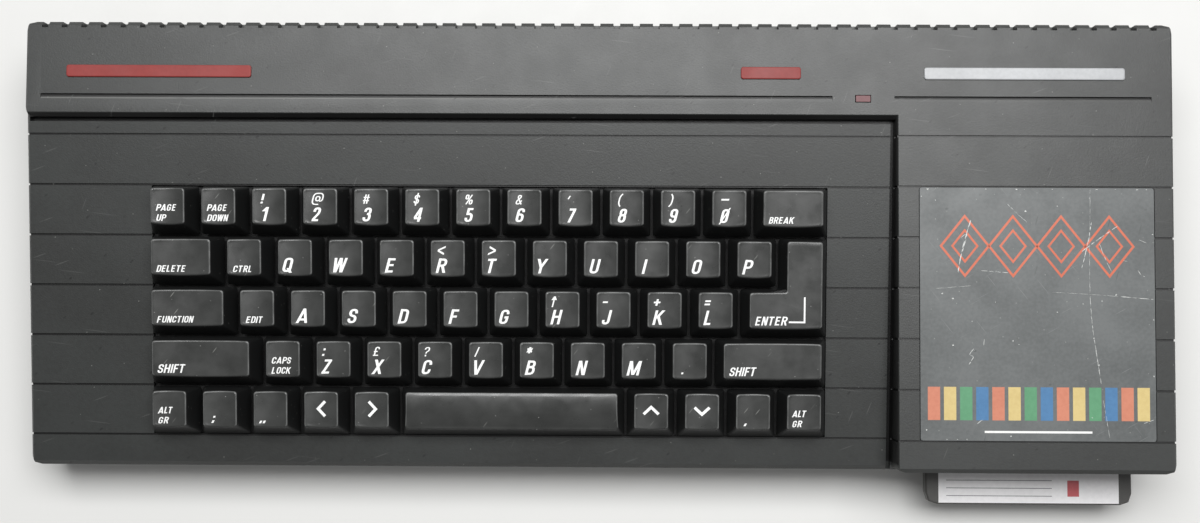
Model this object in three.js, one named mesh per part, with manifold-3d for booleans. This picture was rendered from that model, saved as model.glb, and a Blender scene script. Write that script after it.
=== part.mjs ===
// A vintage home computer: a keyboard deck that slopes to the front, a raised band behind it
// and a raised block on the right, which holds a three-inch disc drive with a disc in it.
// Millimetres. X runs to the right, Y to the rear and Z up, and the feet stand on Z = 0.
import * as THREE from "three";
import { mergeVertices } from "three/addons/utils/BufferGeometryUtils.js";
import Module from "manifold-3d";

const wasm = await Module();
wasm.setup();

// Driving dimensions
const keyPitch = 19.05;
const wall = 2.5;
const gap = 0.3; // clearance between two pieces that meet
const overrun = 4; // how far a cutting shape runs past what it cuts
const join = 0.5; // how far two solids that become one run into each other
const weld = 0.0001; // vertices closer than this are one

const casing = {
  footHeight: 2,
  partingHeight: 10,
  besideDrive: 8.25, // room between the drive and the left wall of the block
  bandDepth: 36.2,
  blockFrontHeight: 40.7,
  blockRearHeight: 42.9,
  deckFrontHeight: 27.4,
  deckRearHeight: 40.4,
  cornerRadius: 3.5,
  topRadius: 1.6,
  bottomRadius: 2.6,
  endBevel: 0.9,
  rearThickening: 5.5, // behind the notches of the rear edge
};
const channel = { width: 1.7, depth: 3.2, endInset: 1.2 };
const groove = { width: 0.8, depth: 0.6, count: 7 };
const notch = { pitch: 7.49, width: 2.5, depth: 2.4, height: 5.2, fromSide: 7.1 };
const recessLine = { width: 2.1, depth: 0.8, fromBandFront: 6.5 };
// Ends of the two recessed lines, from the sides of the case and from the block's left face
const leftLine = { fromSide: 5.9, beforeBlock: 23.9 };
const rightLine = { fromSide: 8.1, beforeBlock: 0.6 };
const foot = { radius: 7, inset: 26, sides: 12 };
const tongue = { thickness: 1.1, height: 1.6, root: 2, length: 28 };
const frontTongueShares = [-0.75, -0.4, -0.05, 0.3]; // of half the case's width
const rearTongueShares = [0.7, 0.87];
const post = {
  radius: 4.2,
  height: 22,
  holeRadius: 1.5,
  holeDepth: 4,
  headRadius: 3.1,
  headDepth: 6,
  sides: 8,
};
// Middles of the screw posts, as shares of half the case's width and depth
const postShares = [
  [-0.92, -0.853],
  [0.466, -0.853],
  [-0.85, 0.62],
  [-0.04, 0.62],
  [0.945, 0.83],
];
const vent = { length: 48, width: 2.4, pitch: 6, count: 8 };
const ventShares = [-0.62, 0.02]; // middles of the two groups, of half the case's width

// The keyboard's opening in the deck, and the deck around it
const well = { fromLeft: 47.4, fromFront: 11.9, beforeBlock: 25.125, beforeBand: 25.55 };
const key = {
  spacing: 0.85, // between the skirts of two keys
  skirtHeight: 1, // above the deck
  topHeight: 11.1,
  cornerRadius: 1.3,
  sideTaper: 2.85,
  frontTaper: 4.3,
  rearTaper: 0.5,
  dishDepth: 1.1,
  dishMargin: 0.4,
  skin: 1.2,
  topSkin: 2,
  plunger: 5,
};
const dishSteps = 3;
const cornerSteps = 2;
const edgeSteps = 1;
const frame = { margin: 6, thickness: 1.8, rimWall: 2, collarWall: 1.3, collarHeight: 4.5 };
const dome = { topRadius: 3.6, footRadius: 6.2, height: 4.2, mat: 0.9, sides: 5 };
const membrane = { thickness: 0.4, tailWidth: 18, tailReach: 11 };
const backplate = { thickness: 1, ribHeight: 1.2, ribWidth: 4, ribCount: 4 };
// Widths of the keys in each row, as shares of the key pitch, from left to right
const plain = (names) => [...names].map((name) => [name, 1]);
const keyRowShares = [
  [["video_plain", 1], ["video_inverse", 1], ...plain("1234567890"), ["break", 1.5]],
  [["delete", 1.5], ["graphics", 1], ...plain("qwertyuiop")],
  [["extend", 1.75], ["edit", 1], ...plain("asdfghjkl"), ["enter", 1.75]],
  [
    ["shift_left", 2.25],
    ["caps_lock", 1],
    ...plain("zxcvbnm"),
    ["period", 1],
    ["shift_right", 2.25],
  ],
  [
    ...plain(["symbol_left", "semicolon", "quote", "arrow_left", "arrow_right"]),
    ["space", 4.5],
    ...plain(["arrow_up", "arrow_down", "comma", "symbol_right"]),
  ],
];
const rowShare = 13.5;
const spaceGuideShares = [0, -0.38, 0.38]; // plungers of the space bar, of its width
// Keys whose plungers are one piece with the frame that carries them
const keysOnFrame = [
  "video_plain",
  "video_inverse",
  "break",
  "delete",
  "graphics",
  "extend",
  "edit",
  "caps_lock",
  "period",
  "symbol_left",
  "semicolon",
  "quote",
  "comma",
  "symbol_right",
];

const led = { width: 5.4, depth: 2.3, height: 9, proud: 0.2, flange: 1.2, flangeHeight: 1.5 };
const ledPlace = { beforeBlock: 12.4, fromBandFront: 7.6 };
const label = { width: 87.6, fromBlockLeft: 8.7, thickness: 0.6, proud: 0.1, radius: 0.8 };

const disc = {
  width: 80,
  length: 100,
  thickness: 5,
  cornerRadius: 4.5,
  edgeBevel: 0.5,
  proud: 14.2, // of the case's front
  height: 15, // of its middle above the desk
  hubRadius: 7.5,
  hubSides: 12,
  hubFromLeading: 45,
  labelWidth: 70,
  labelLength: 62,
  reliefDepth: 0.3,
  keyNotch: 3,
  shutterWidth: 26,
  shutterLength: 18,
};
const bezel = {
  besideDisc: 5,
  fromWall: 0.75,
  bottom: 5.4,
  top: 33.4,
  thickness: 4,
  recess: 1,
  slotMargin: 1.1,
  scoopRadius: 9,
  scoopDepth: 2.4,
  scoopSides: 20,
};
const eject = {
  width: 13,
  height: 3.8,
  middle: 8.2,
  fromSide: 16,
  proud: 1.8,
  length: 19.5,
  shoulder: 0.8,
  shoulderDepth: 1.2,
  stemWidth: 8,
  stemHeight: 3,
};
const chassis = {
  behindCarriage: 16.9,
  sheet: 1.5,
  height: 26,
  deckLow: 7.6,
  deckThickness: 1.2,
  deckSetback: 18,
  railReach: 3,
  railLip: 1.3,
  barDepth: 4,
  barHeight: 4.4,
  barFromLeading: 12,
  rodRadius: 1.5,
  rodSpacing: 44,
  rodHeight: 24,
  rodSides: 8,
};
const hub = {
  radius: 12,
  shaftRadius: 3,
  pulleyRadius: 16,
  pulleyThickness: 1.8,
  beltGroove: 0.6,
  shoulderHeight: 1.4,
  noseRadius: 5.5,
  sides: 20,
};
const carriage = {
  width: 56,
  depth: 12,
  travel: 20,
  behindDisc: 1.6,
  armWidth: 14,
  armThickness: 1.8,
  armSpace: 1.5, // between an arm and the disc
  armReach: 9.5, // over the disc, with the heads at the outermost track
  headSize: 5,
  boreWall: 1.6,
};

const board = { fromLeft: 8.5, fromDrive: 5.45, depth: 96.5, thickness: 1.6, bottom: 8.5 };
const standoff = { radius: 3.2, sides: 8 };
const chip40 = { length: 52, width: 14, height: 4 };
const chip28 = { length: 36, width: 14, height: 4 };
const chip16 = { length: 20, width: 6.5, height: 4 };
const coolFin = { length: 30, width: 12, height: 9 };
const tailSocket = { length: 20, width: 5, height: 7 };
const modulator = { length: 24, width: 30, height: 17 };
// Middles of the pieces on the board, as shares of its width and depth
const chip40Shares = [
  [0.3, 0.3],
  [0.52, 0.3],
  [0.52, 0.52],
];
const chip28Shares = [
  [0.3, 0.52],
  [0.74, 0.3],
  [0.74, 0.52],
];
const chip16Shares = [0.06, 0.13, 0.2].flatMap((share) => [
  [share, 0.18],
  [share, 0.34],
]);
const coolFinShares = [[0.9, 0.24]];
const standoffShares = [
  [0.02, 0.04],
  [0.43, 0.04],
  [0.97, 0.04],
  [0.02, 0.86],
  [0.97, 0.6],
];
const tailShares = [0.2, 0.65];

const roundSocket = { width: 20, height: 18, depth: 15, radius: 7, recess: 10, sides: 16 };
const phoneSocket = { width: 15, height: 13.5, depth: 15, mouth: 11.4, mouthHeight: 9, recess: 11 };
const jackSocket = { width: 11, height: 10, depth: 14, radius: 1.8, recess: 9, sides: 12 };
const phono = { radius: 4.1, bore: 1.6, recess: 6, setIn: 0.6, sides: 12 };
const socketMargin = 1.4; // between a socket and the edge of its opening in the case
const edgePlug = { below: 3.6, above: 6.5, setIn: 3, side: 1.5 };
// Middles of the rear sockets, as shares of half the case's width
const roundShares = [-0.88, -0.64];
const phonoShare = -0.76;
const jackShare = -0.55;
const phoneShares = [-0.47, -0.38];
const edgeShares = [-0.13, 0.19, 0.44];
const edgeWidths = { expansion: 62, printer: 46, disc: 36 };

const joystick = {
  width: 31,
  height: 12.6,
  bodyDepth: 10,
  shroudWidth: 18,
  shroudHeight: 9.6,
  shroudSlant: 1.4,
  shroudWall: 0.9,
  recess: 6.5,
  setIn: 0.5,
  clearance: 0.8,
  firstFromStep: 12,
  pitch: 34,
};
const reset = {
  radius: 3,
  length: 9,
  setIn: 0.2,
  flange: 1.1,
  travel: 1.2,
  height: 17,
  fromStep: 9,
  sides: 12,
};
const resetSwitch = { size: 8, height: 11 };

// Places that follow from the sizes
const wellWidth = rowShare * keyPitch;
const wellDepth = keyRowShares.length * keyPitch;
const bezelWidth = disc.width + 2 * bezel.besideDisc;
const blockWidth = bezelWidth + bezel.fromWall + casing.besideDrive + 2 * wall;
const caseWidth = well.fromLeft + wellWidth + well.beforeBlock + blockWidth;
const caseDepth = well.fromFront + wellDepth + well.beforeBand + casing.bandDepth;
const halfWidth = caseWidth / 2;
const halfDepth = caseDepth / 2;
const front = -halfDepth;
const rear = halfDepth;
const stepY = rear - casing.bandDepth;
const blockLeft = halfWidth - blockWidth;
const driveX = halfWidth - wall - bezel.fromWall - bezelWidth / 2;
const floorTop = casing.footHeight + wall;
const boardTop = board.bottom + board.thickness;
const { mapLinear } = THREE.MathUtils;
const blockTop = (y) =>
  mapLinear(y, front, rear, casing.blockFrontHeight, casing.blockRearHeight);
const deckTop = (y) =>
  mapLinear(y, front, stepY, casing.deckFrontHeight, casing.deckRearHeight);
const deckSlope = Math.atan2(deckTop(stepY) - deckTop(front), stepY - front);
const blockSlope = Math.atan2(blockTop(rear) - blockTop(front), caseDepth);
const wellX = -halfWidth + well.fromLeft + wellWidth / 2;
const wellY = front + well.fromFront + wellDepth / 2;
const boardLeft = -halfWidth + board.fromLeft;
const boardWidth = driveX - bezelWidth / 2 - board.fromDrive - boardLeft;
const boardRear = rear - wall - gap;
const boardFront = boardRear - board.depth;
const onBoard = ([xShare, yShare]) => [
  boardLeft + xShare * boardWidth,
  boardFront + yShare * board.depth,
];

// Heights in the keyboard's own frame, whose plane is the top of the deck
const frameTop = -(wall + gap);
const frameBottom = frameTop - frame.thickness;
const plungerBottom = frameBottom - gap;
const domeTop = plungerBottom - gap;
const matTop = domeTop - dome.height;
const matBottom = matTop - dome.mat;
const membraneTop = matBottom - gap;
const membraneBottom = membraneTop - membrane.thickness;
const backplateTop = membraneBottom - gap;
const frameWidth = wellWidth + 2 * frame.margin;
const frameDepth = wellDepth + 2 * frame.margin;
const inFrame = 2 * (frame.rimWall + gap);

// Shapes
const X = new THREE.Vector3(1, 0, 0);
const Y = new THREE.Vector3(0, 1, 0);
const Z = new THREE.Vector3(0, 0, 1);
const turnToX = new THREE.Matrix4().makeBasis(Y, Z, X);
const turnToY = new THREE.Matrix4().makeBasis(X, Z, Y.clone().negate());

// A closed outline through corners [across, up, radius], each rounded off over its radius.
function roundedOutline(corners) {
  const outline = new THREE.Shape();
  corners.forEach(([across, up, radius = 0], index) => {
    const corner = new THREE.Vector2(across, up);
    const towards = (other) =>
      new THREE.Vector2(other[0], other[1]).sub(corner).setLength(radius).add(corner);
    const start = towards(corners.at(index - 1));
    const end = towards(corners[(index + 1) % corners.length]);
    if (index) outline.lineTo(start.x, start.y);
    else outline.moveTo(start.x, start.y);
    if (radius) outline.quadraticCurveTo(across, up, end.x, end.y);
  });
  outline.closePath();
  return outline;
}

function rectangle(x0, x1, y0, y1, radius = 0) {
  return roundedOutline([
    [x0, y0, radius],
    [x1, y0, radius],
    [x1, y1, radius],
    [x0, y1, radius],
  ]);
}

// An outline carried along one axis. Its own directions are Y and Z along X, X and Z along Y,
// and X and Y along Z.
function prism(outline, length, bevel = 0, steps = cornerSteps) {
  return new THREE.ExtrudeGeometry(outline, {
    depth: length - 2 * bevel,
    steps: 1,
    curveSegments: steps,
    bevelEnabled: bevel > 0,
    bevelThickness: bevel,
    bevelSize: bevel,
    bevelOffset: -bevel,
    bevelSegments: 1,
  }).translate(0, 0, bevel);
}
const alongX = (outline, from, to, bevel) =>
  prism(outline, to - from, bevel, edgeSteps).applyMatrix4(turnToX).translate(from, 0, 0);
const alongY = (outline, from, to, bevel) =>
  prism(outline, to - from, bevel).applyMatrix4(turnToY).translate(0, to, 0);
const alongZ = (outline, from, to, bevel, steps) =>
  prism(outline, to - from, bevel, steps).translate(0, 0, from);

const block = (x0, x1, y0, y1, z0, z1) =>
  new THREE.BoxGeometry(x1 - x0, y1 - y0, z1 - z0).translate(
    (x0 + x1) / 2,
    (y0 + y1) / 2,
    (z0 + z1) / 2,
  );
const blockAround = (x, y, width, depth, z0, z1) =>
  block(x - width / 2, x + width / 2, y - depth / 2, y + depth / 2, z0, z1);
// A round bar with its middle line upright, along Y or along X
const upright = (radius, x, y, from, to, sides) =>
  new THREE.CylinderGeometry(radius, radius, to - from, sides)
    .rotateX(Math.PI / 2)
    .translate(x, y, (from + to) / 2);
const lengthwise = (radius, x, z, from, to, sides) =>
  new THREE.CylinderGeometry(radius, radius, to - from, sides).translate(x, (from + to) / 2, z);
const crosswise = (radius, y, z, from, to, sides) =>
  new THREE.CylinderGeometry(radius, radius, to - from, sides)
    .rotateZ(Math.PI / 2)
    .translate((from + to) / 2, y, z);

// Solids: closed bodies that can be joined and cut
function solid(geometry) {
  const bare = new THREE.BufferGeometry();
  bare.setAttribute("position", geometry.getAttribute("position"));
  bare.setIndex(geometry.getIndex());
  const merged = mergeVertices(bare, weld);
  return new wasm.Manifold(
    new wasm.Mesh({
      numProp: 3,
      vertProperties: new Float32Array(merged.getAttribute("position").array),
      triVerts: new Uint32Array(merged.getIndex().array),
    }),
  );
}
const joined = (bodies) => bodies.reduce((whole, body) => whole.add(body));
const solids = (geometries) => joined(geometries.map(solid));
const cutFrom = (body, cutters) => cutters.reduce((rest, cutter) => rest.subtract(cutter), body);

function piece(name, body, colour, roughness, metalness = 0) {
  const found = body.getMesh();
  const geometry = new THREE.BufferGeometry();
  geometry.setAttribute(
    "position",
    new THREE.BufferAttribute(new Float32Array(found.vertProperties), found.numProp),
  );
  geometry.setIndex(new THREE.BufferAttribute(new Uint32Array(found.triVerts), 1));
  geometry.computeVertexNormals();
  const material = new THREE.MeshStandardMaterial({
    color: colour,
    roughness,
    metalness,
    flatShading: true,
  });
  const mesh = new THREE.Mesh(geometry, material);
  mesh.name = name;
  return mesh;
}

// The case: three raised areas that run into one another. An area's right or rear side is open
// where it runs into its neighbour, and then no wall is taken off it there.
const areaOverlap = 3 * wall;
const deckArea = {
  left: -halfWidth,
  right: blockLeft + areaOverlap,
  front,
  rear: stepY + areaOverlap,
  top: deckTop,
  open: true,
};
const bandArea = { left: -halfWidth, right: halfWidth, front: stepY, rear, top: blockTop };
const blockArea = { left: blockLeft, right: halfWidth, front, rear, top: blockTop };
const areas = [deckArea, bandArea, blockArea];

// The outside of a raised area, with its edges and corners rounded
function outerForm(area) {
  const side = roundedOutline([
    [area.front, casing.footHeight, casing.bottomRadius],
    [area.rear, casing.footHeight, casing.bottomRadius],
    [area.rear, area.top(area.rear), casing.topRadius],
    [area.front, area.top(area.front), casing.topRadius],
  ]);
  const plan = rectangle(area.left, area.right, area.front, area.rear, casing.cornerRadius);
  const top = area.top(area.rear) + overrun;
  return solid(alongX(side, area.left, area.right, casing.endBevel)).intersect(
    solid(alongZ(plan, 0, top)),
  );
}

// The space inside a raised area behind a skin of some thickness
function innerForm(area, skin, thickening = 0) {
  const openSkin = area.open ? 0 : skin;
  const start = area.front + skin;
  const end = area.rear - openSkin;
  const base = casing.footHeight + skin;
  const side = roundedOutline([
    [start, base],
    [end, base],
    [end, area.top(end) - skin - thickening],
    ...(thickening ? [[end - thickening, area.top(end) - skin]] : []),
    [start, area.top(start) - skin],
  ]);
  return solid(alongX(side, area.left + skin, area.right - openSkin));
}

// Everything that lies deeper than some depth under the deck's slope
function underDeck(depth) {
  const start = front - overrun;
  const end = rear;
  const side = roundedOutline([
    [start, -overrun],
    [end, -overrun],
    [end, deckTop(end) - depth],
    [start, deckTop(start) - depth],
  ]);
  return solid(alongX(side, -halfWidth - overrun, halfWidth + overrun));
}

// The narrow channel between the deck and the raised parts, or the space around it
function channelSlabs(around) {
  const high = casing.blockRearHeight + overrun;
  return solids([
    block(
      -halfWidth + channel.endInset,
      blockLeft + around,
      stepY - channel.width - around,
      stepY + around,
      0,
      high,
    ),
    block(
      blockLeft - channel.width - around,
      blockLeft + around,
      front - overrun,
      stepY + around,
      0,
      high,
    ),
  ]);
}

// The grooves cross the deck and the block and run down the case's sides.
function grooves() {
  const first = wellY + wellDepth / 2 + keyPitch;
  const core = joined(areas.map((area) => innerForm(area, groove.depth)));
  const slabs = Array.from({ length: groove.count }, (_, index) =>
    blockAround(
      0,
      first - index * keyPitch,
      caseWidth + 2 * overrun,
      groove.width,
      0,
      casing.blockRearHeight + overrun,
    ),
  );
  return solids(slabs).subtract(core);
}

function rearNotches() {
  const last = Math.floor((caseWidth - 2 * notch.fromSide) / notch.pitch);
  const first = (-last * notch.pitch) / 2;
  return solids(
    Array.from({ length: last + 1 }, (_, index) =>
      block(
        first + index * notch.pitch - notch.width / 2,
        first + index * notch.pitch + notch.width / 2,
        rear - notch.depth,
        rear + overrun,
        casing.blockRearHeight - notch.height,
        casing.blockRearHeight + overrun,
      ),
    ),
  );
}

// A line sunk into the band: upright at the rear, with a floor that rises to the front
function recessedLine(from, to) {
  const start = stepY + recessLine.fromBandFront;
  const end = start + recessLine.width;
  const side = roundedOutline([
    [start, blockTop(start)],
    [end, blockTop(end) - recessLine.depth],
    [end, blockTop(end) + overrun],
    [start, blockTop(start) + overrun],
  ]);
  return solid(alongX(side, from, to));
}

// The rear sockets look out through openings of their own shape, a margin larger.
function rearOpenings() {
  const from = rear - wall - gap / 2;
  const to = rear + overrun;
  const round = (share, radius, height, sides) =>
    lengthwise(radius + socketMargin, share * halfWidth, boardTop + height / 2, from, to, sides);
  const widths = Object.values(edgeWidths);
  return solids([
    ...roundShares.map((share) =>
      round(share, roundSocket.radius, roundSocket.height, roundSocket.sides),
    ),
    round(phonoShare, phono.radius, modulator.height, phono.sides),
    round(jackShare, jackSocket.radius, jackSocket.height, jackSocket.sides),
    ...phoneShares.map((share) =>
      block(
        share * halfWidth - phoneSocket.mouth / 2 - socketMargin,
        share * halfWidth + phoneSocket.mouth / 2 + socketMargin,
        from,
        to,
        boardTop + (phoneSocket.height - phoneSocket.mouthHeight) / 2 - socketMargin,
        boardTop + (phoneSocket.height + phoneSocket.mouthHeight) / 2 + socketMargin,
      ),
    ),
    ...edgeShares.map((share, index) =>
      block(
        share * halfWidth - widths[index] / 2 - edgePlug.side,
        share * halfWidth + widths[index] / 2 + edgePlug.side,
        from,
        to,
        board.bottom - edgePlug.below,
        boardTop + edgePlug.above,
      ),
    ),
  ]);
}

// The outline of a nine-pin plug, wider at the top than at the bottom, about its middle
function shroudOutline(y, z, skin) {
  const top = joystick.shroudWidth / 2 - skin;
  const bottom = top - joystick.shroudSlant;
  const high = joystick.shroudHeight / 2 - skin;
  return roundedOutline([
    [y - bottom, z - high],
    [y + bottom, z - high],
    [y + top, z + high],
    [y - top, z + high],
  ]);
}
const joystickZ = boardTop + joystick.height / 2;
const shroudEnd = -halfWidth + joystick.setIn;
const joystickFace = -halfWidth + wall + gap;

const joystickYs = [0, 1].map((n) => stepY - joystick.firstFromStep - n * joystick.pitch);
const resetY = stepY + reset.fromStep;

function sideOpenings() {
  const from = -halfWidth - overrun;
  const to = -halfWidth + wall + gap / 2;
  return solids([
    ...joystickYs.map((y) => alongX(shroudOutline(y, joystickZ, -joystick.clearance), from, to)),
    crosswise(reset.radius + gap, resetY, reset.height, from, to, reset.sides),
  ]);
}

const bezelOpening = () =>
  solid(
    block(
      driveX - bezelWidth / 2 - gap,
      driveX + bezelWidth / 2 + gap,
      front - overrun,
      front + wall + join,
      bezel.bottom - gap,
      bezel.top + gap,
    ),
  );

const postPlaces = postShares.map(([xShare, yShare]) => [xShare * halfWidth, yShare * halfDepth]);
const topAt = (x, y) => (y > stepY || x > blockLeft ? blockTop(y) : deckTop(y));

const keyboard = new THREE.Group();
keyboard.position.set(wellX, wellY, deckTop(wellY));
keyboard.rotation.x = deckSlope;
keyboard.updateMatrix();

const labelSeat = new THREE.Group();
labelSeat.position.set(
  blockLeft + label.fromBlockLeft + label.width / 2,
  wellY,
  blockTop(wellY),
);
labelSeat.rotation.x = blockSlope;
labelSeat.updateMatrix();

const caseForm = joined(areas.map(outerForm));
const caseSpace = joined([
  innerForm(deckArea, wall),
  innerForm(bandArea, wall, casing.rearThickening),
  innerForm(blockArea, wall, casing.rearThickening),
]);

function upperCase() {
  const trough = channelSlabs(wall)
    .intersect(caseForm)
    .subtract(underDeck(channel.depth + wall));
  const wellCut = solid(
    blockAround(0, 0, wellWidth, wellDepth, -wall - overrun, overrun).applyMatrix4(
      keyboard.matrix,
    ),
  );
  const labelRecess = solid(
    alongZ(
      rectangle(
        -label.width / 2 - gap,
        label.width / 2 + gap,
        -wellDepth / 2,
        wellDepth / 2,
        label.radius,
      ),
      label.proud - label.thickness - gap,
      overrun,
    ).applyMatrix4(labelSeat.matrix),
  );
  const ledHole = solid(
    blockAround(
      blockLeft - ledPlace.beforeBlock,
      stepY + ledPlace.fromBandFront,
      led.width + 2 * gap,
      led.depth + 2 * gap,
      casing.deckFrontHeight,
      casing.blockRearHeight + overrun,
    ),
  );
  const shell = cutFrom(caseForm.subtract(caseSpace).add(trough), [
    channelSlabs(0).subtract(underDeck(channel.depth)),
    grooves(),
    rearNotches(),
    recessedLine(-halfWidth + leftLine.fromSide, blockLeft - leftLine.beforeBlock),
    recessedLine(blockLeft - rightLine.beforeBlock, halfWidth - rightLine.fromSide),
    labelRecess,
    wellCut,
    ledHole,
    bezelOpening(),
    rearOpenings(),
    sideOpenings(),
    solid(
      blockAround(0, 0, caseWidth + overrun, caseDepth + overrun, -overrun, casing.partingHeight),
    ),
  ]);
  const bosses = postPlaces.map(([x, y]) =>
    solid(
      upright(post.radius, x, y, post.height, topAt(x, y) - wall / 2, post.sides),
    ).subtract(
      solid(
        upright(
          post.holeRadius,
          x,
          y,
          post.height - overrun,
          post.height + post.holeDepth,
          post.sides,
        ),
      ),
    ),
  );
  return joined([shell, ...bosses]);
}

// Tongues on the lower case stand behind the walls of the upper case and line the two up.
function tongues() {
  const face = halfDepth - wall;
  const back = face - gap - tongue.thickness;
  const root = casing.partingHeight - tongue.root;
  const tip = casing.partingHeight + tongue.height;
  const shoulder = casing.partingHeight - 2 * gap;
  const corners = [
    [face + join, root],
    [face + join, shoulder],
    [face - gap, shoulder],
    [face - gap, tip],
    [back, tip],
    [back, root],
  ];
  const row = (shares, side) =>
    shares.map((share) =>
      alongX(
        roundedOutline(corners.map(([y, z]) => [side * y, z])),
        share * halfWidth - tongue.length / 2,
        share * halfWidth + tongue.length / 2,
      ),
    );
  return solids([...row(frontTongueShares, -1), ...row(rearTongueShares, 1)]);
}

// The standoffs carry the board a gap below its underside.
function lowerCase() {
  const shell = caseForm
    .subtract(caseSpace)
    .subtract(
      solid(
        blockAround(
          0,
          0,
          caseWidth + overrun,
          caseDepth + overrun,
          casing.partingHeight - gap,
          casing.blockRearHeight + overrun,
        ),
      ),
    );
  const feet = [-1, 1].flatMap((sideX) =>
    [-1, 1].map((sideY) =>
      upright(
        foot.radius,
        sideX * (halfWidth - foot.inset),
        sideY * (halfDepth - foot.inset),
        0,
        floorTop - join,
        foot.sides,
      ),
    ),
  );
  const standoffs = standoffShares.map(onBoard).map(([x, y]) =>
    upright(standoff.radius, x, y, floorTop - join, board.bottom - gap, standoff.sides),
  );
  const posts = postPlaces.map(([x, y]) =>
    upright(post.radius, x, y, floorTop - join, post.height - gap, post.sides),
  );
  const screwHoles = postPlaces.flatMap(([x, y]) => [
    upright(post.holeRadius, x, y, -overrun, post.height + overrun, post.sides),
    upright(
      post.headRadius,
      x,
      y,
      -overrun,
      casing.footHeight + post.headDepth,
      post.sides,
    ),
  ]);
  const slots = ventShares.flatMap((share) =>
    Array.from({ length: vent.count }, (_, index) =>
      blockAround(
        share * halfWidth + (index - (vent.count - 1) / 2) * vent.pitch,
        wellY,
        vent.width,
        vent.length,
        -overrun,
        floorTop + overrun,
      ),
    ),
  );
  return cutFrom(joined([shell, tongues(), solids(feet), solids(standoffs), solids(posts)]), [
    solids(screwHoles),
    solids(slots),
    bezelOpening(),
    rearOpenings(),
    sideOpenings(),
  ]);
}

// A block with rounded corners whose sides lean in towards its top
function leaningBlock([x0, x1, y0, y1], bottom, top, lean, radius) {
  const geometry = alongZ(rectangle(x0, x1, y0, y1, radius), bottom, top, 0, edgeSteps);
  const places = geometry.getAttribute("position");
  const middle = (bottom + top) / 2;
  for (let index = 0; index < places.count; index++) {
    if (places.getZ(index) < middle) continue;
    places.setX(index, mapLinear(places.getX(index), x0, x1, x0 + lean.side, x1 - lean.side));
    places.setY(index, mapLinear(places.getY(index), y0, y1, y0 + lean.front, y1 - lean.rear));
  }
  return geometry;
}

// A key cap is one or more leaning blocks, hollow below, with a hollow top and square plungers.
function keyCap(footprints, plungers, low, dished = true) {
  const lean = { side: key.sideTaper, front: key.frontTaper, rear: key.rearTaper };
  const ceiling = key.topHeight - key.topSkin;
  const climb = (ceiling - key.skirtHeight) / (key.topHeight - key.skirtHeight);
  const innerLean = {
    side: lean.side * climb,
    front: lean.front * climb,
    rear: lean.rear * climb,
  };
  const outside = solids(
    footprints.map((footprint) =>
      leaningBlock(footprint, key.skirtHeight, key.topHeight, lean, key.cornerRadius),
    ),
  );
  const inside = solids(
    footprints.map(([x0, x1, y0, y1]) =>
      leaningBlock(
        [x0 + key.skin, x1 - key.skin, y0 + key.skin, y1 - key.skin],
        key.skirtHeight,
        ceiling,
        innerLean,
        0,
      ),
    ),
  ).add(
    solids(
      footprints.map(([x0, x1, y0, y1]) =>
        block(
          x0 + key.skin,
          x1 - key.skin,
          y0 + key.skin,
          y1 - key.skin,
          key.skirtHeight - overrun,
          key.skirtHeight,
        ),
      ),
    ),
  );
  const cap = cutFrom(outside, dished ? [inside, dish(footprints)] : [inside]);
  const stems = plungers.map(([x, y]) =>
    blockAround(x, y, key.plunger, key.plunger, low, ceiling + join),
  );
  return cap.add(solids(stems));
}

// The hollow of a key's top is part of a long cylinder that lies from front to rear.
function dish(footprints) {
  const lefts = footprints.map(([x0]) => x0);
  const rights = footprints.map(([, x1]) => x1);
  const depths = footprints.flatMap(([, , y0, y1]) => [y0, y1]);
  const left = Math.min(...lefts) + key.sideTaper + key.dishMargin;
  const right = Math.max(...rights) - key.sideTaper - key.dishMargin;
  const half = (right - left) / 2;
  const radius = (half * half + key.dishDepth * key.dishDepth) / (2 * key.dishDepth);
  const reach = Math.asin(half / radius);
  const down = -Math.PI / 2;
  const floor = key.topHeight - key.dishDepth;
  const arc = new THREE.EllipseCurve(
    (left + right) / 2,
    floor + radius,
    radius,
    radius,
    down - reach,
    down + reach,
  );
  const outline = new THREE.Shape([
    ...arc.getPoints(dishSteps),
    new THREE.Vector2(right, key.topHeight + overrun),
    new THREE.Vector2(left, key.topHeight + overrun),
  ]);
  return solid(alongY(outline, Math.min(...depths), Math.max(...depths)));
}

// Where each key stands on the keyboard, about its middle
function keyPlaces() {
  const places = [];
  keyRowShares.forEach((row, rowIndex) => {
    let left = -wellWidth / 2;
    for (const [name, share] of row) {
      const width = share * keyPitch;
      const y = wellDepth / 2 - (rowIndex + 1 / 2) * keyPitch;
      places.push({ name, share, x: left + width / 2, y });
      left += width;
    }
  });
  return places;
}

// A key's footprints and plungers about the middle of its own cell
function keyPlan({ name, share }) {
  const half = (share * keyPitch - key.spacing) / 2;
  const halfDeep = (keyPitch - key.spacing) / 2;
  const own = [-half, half, -halfDeep, halfDeep];
  if (name === "enter") {
    const column = half - keyPitch + key.spacing;
    const middle = (column + half) / 2;
    return {
      footprints: [own, [column, half, -halfDeep, halfDeep + keyPitch]],
      plungers: [
        [middle, 0],
        [middle, keyPitch],
      ],
    };
  }
  if (name === "space")
    return {
      footprints: [own],
      plungers: spaceGuideShares.map((guide) => [guide * share * keyPitch, 0]),
      flat: true,
    };
  return { footprints: [own], plungers: [[0, 0]] };
}

const places = keyPlaces();
const onFrame = (place) => keysOnFrame.includes(place.name);

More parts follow.
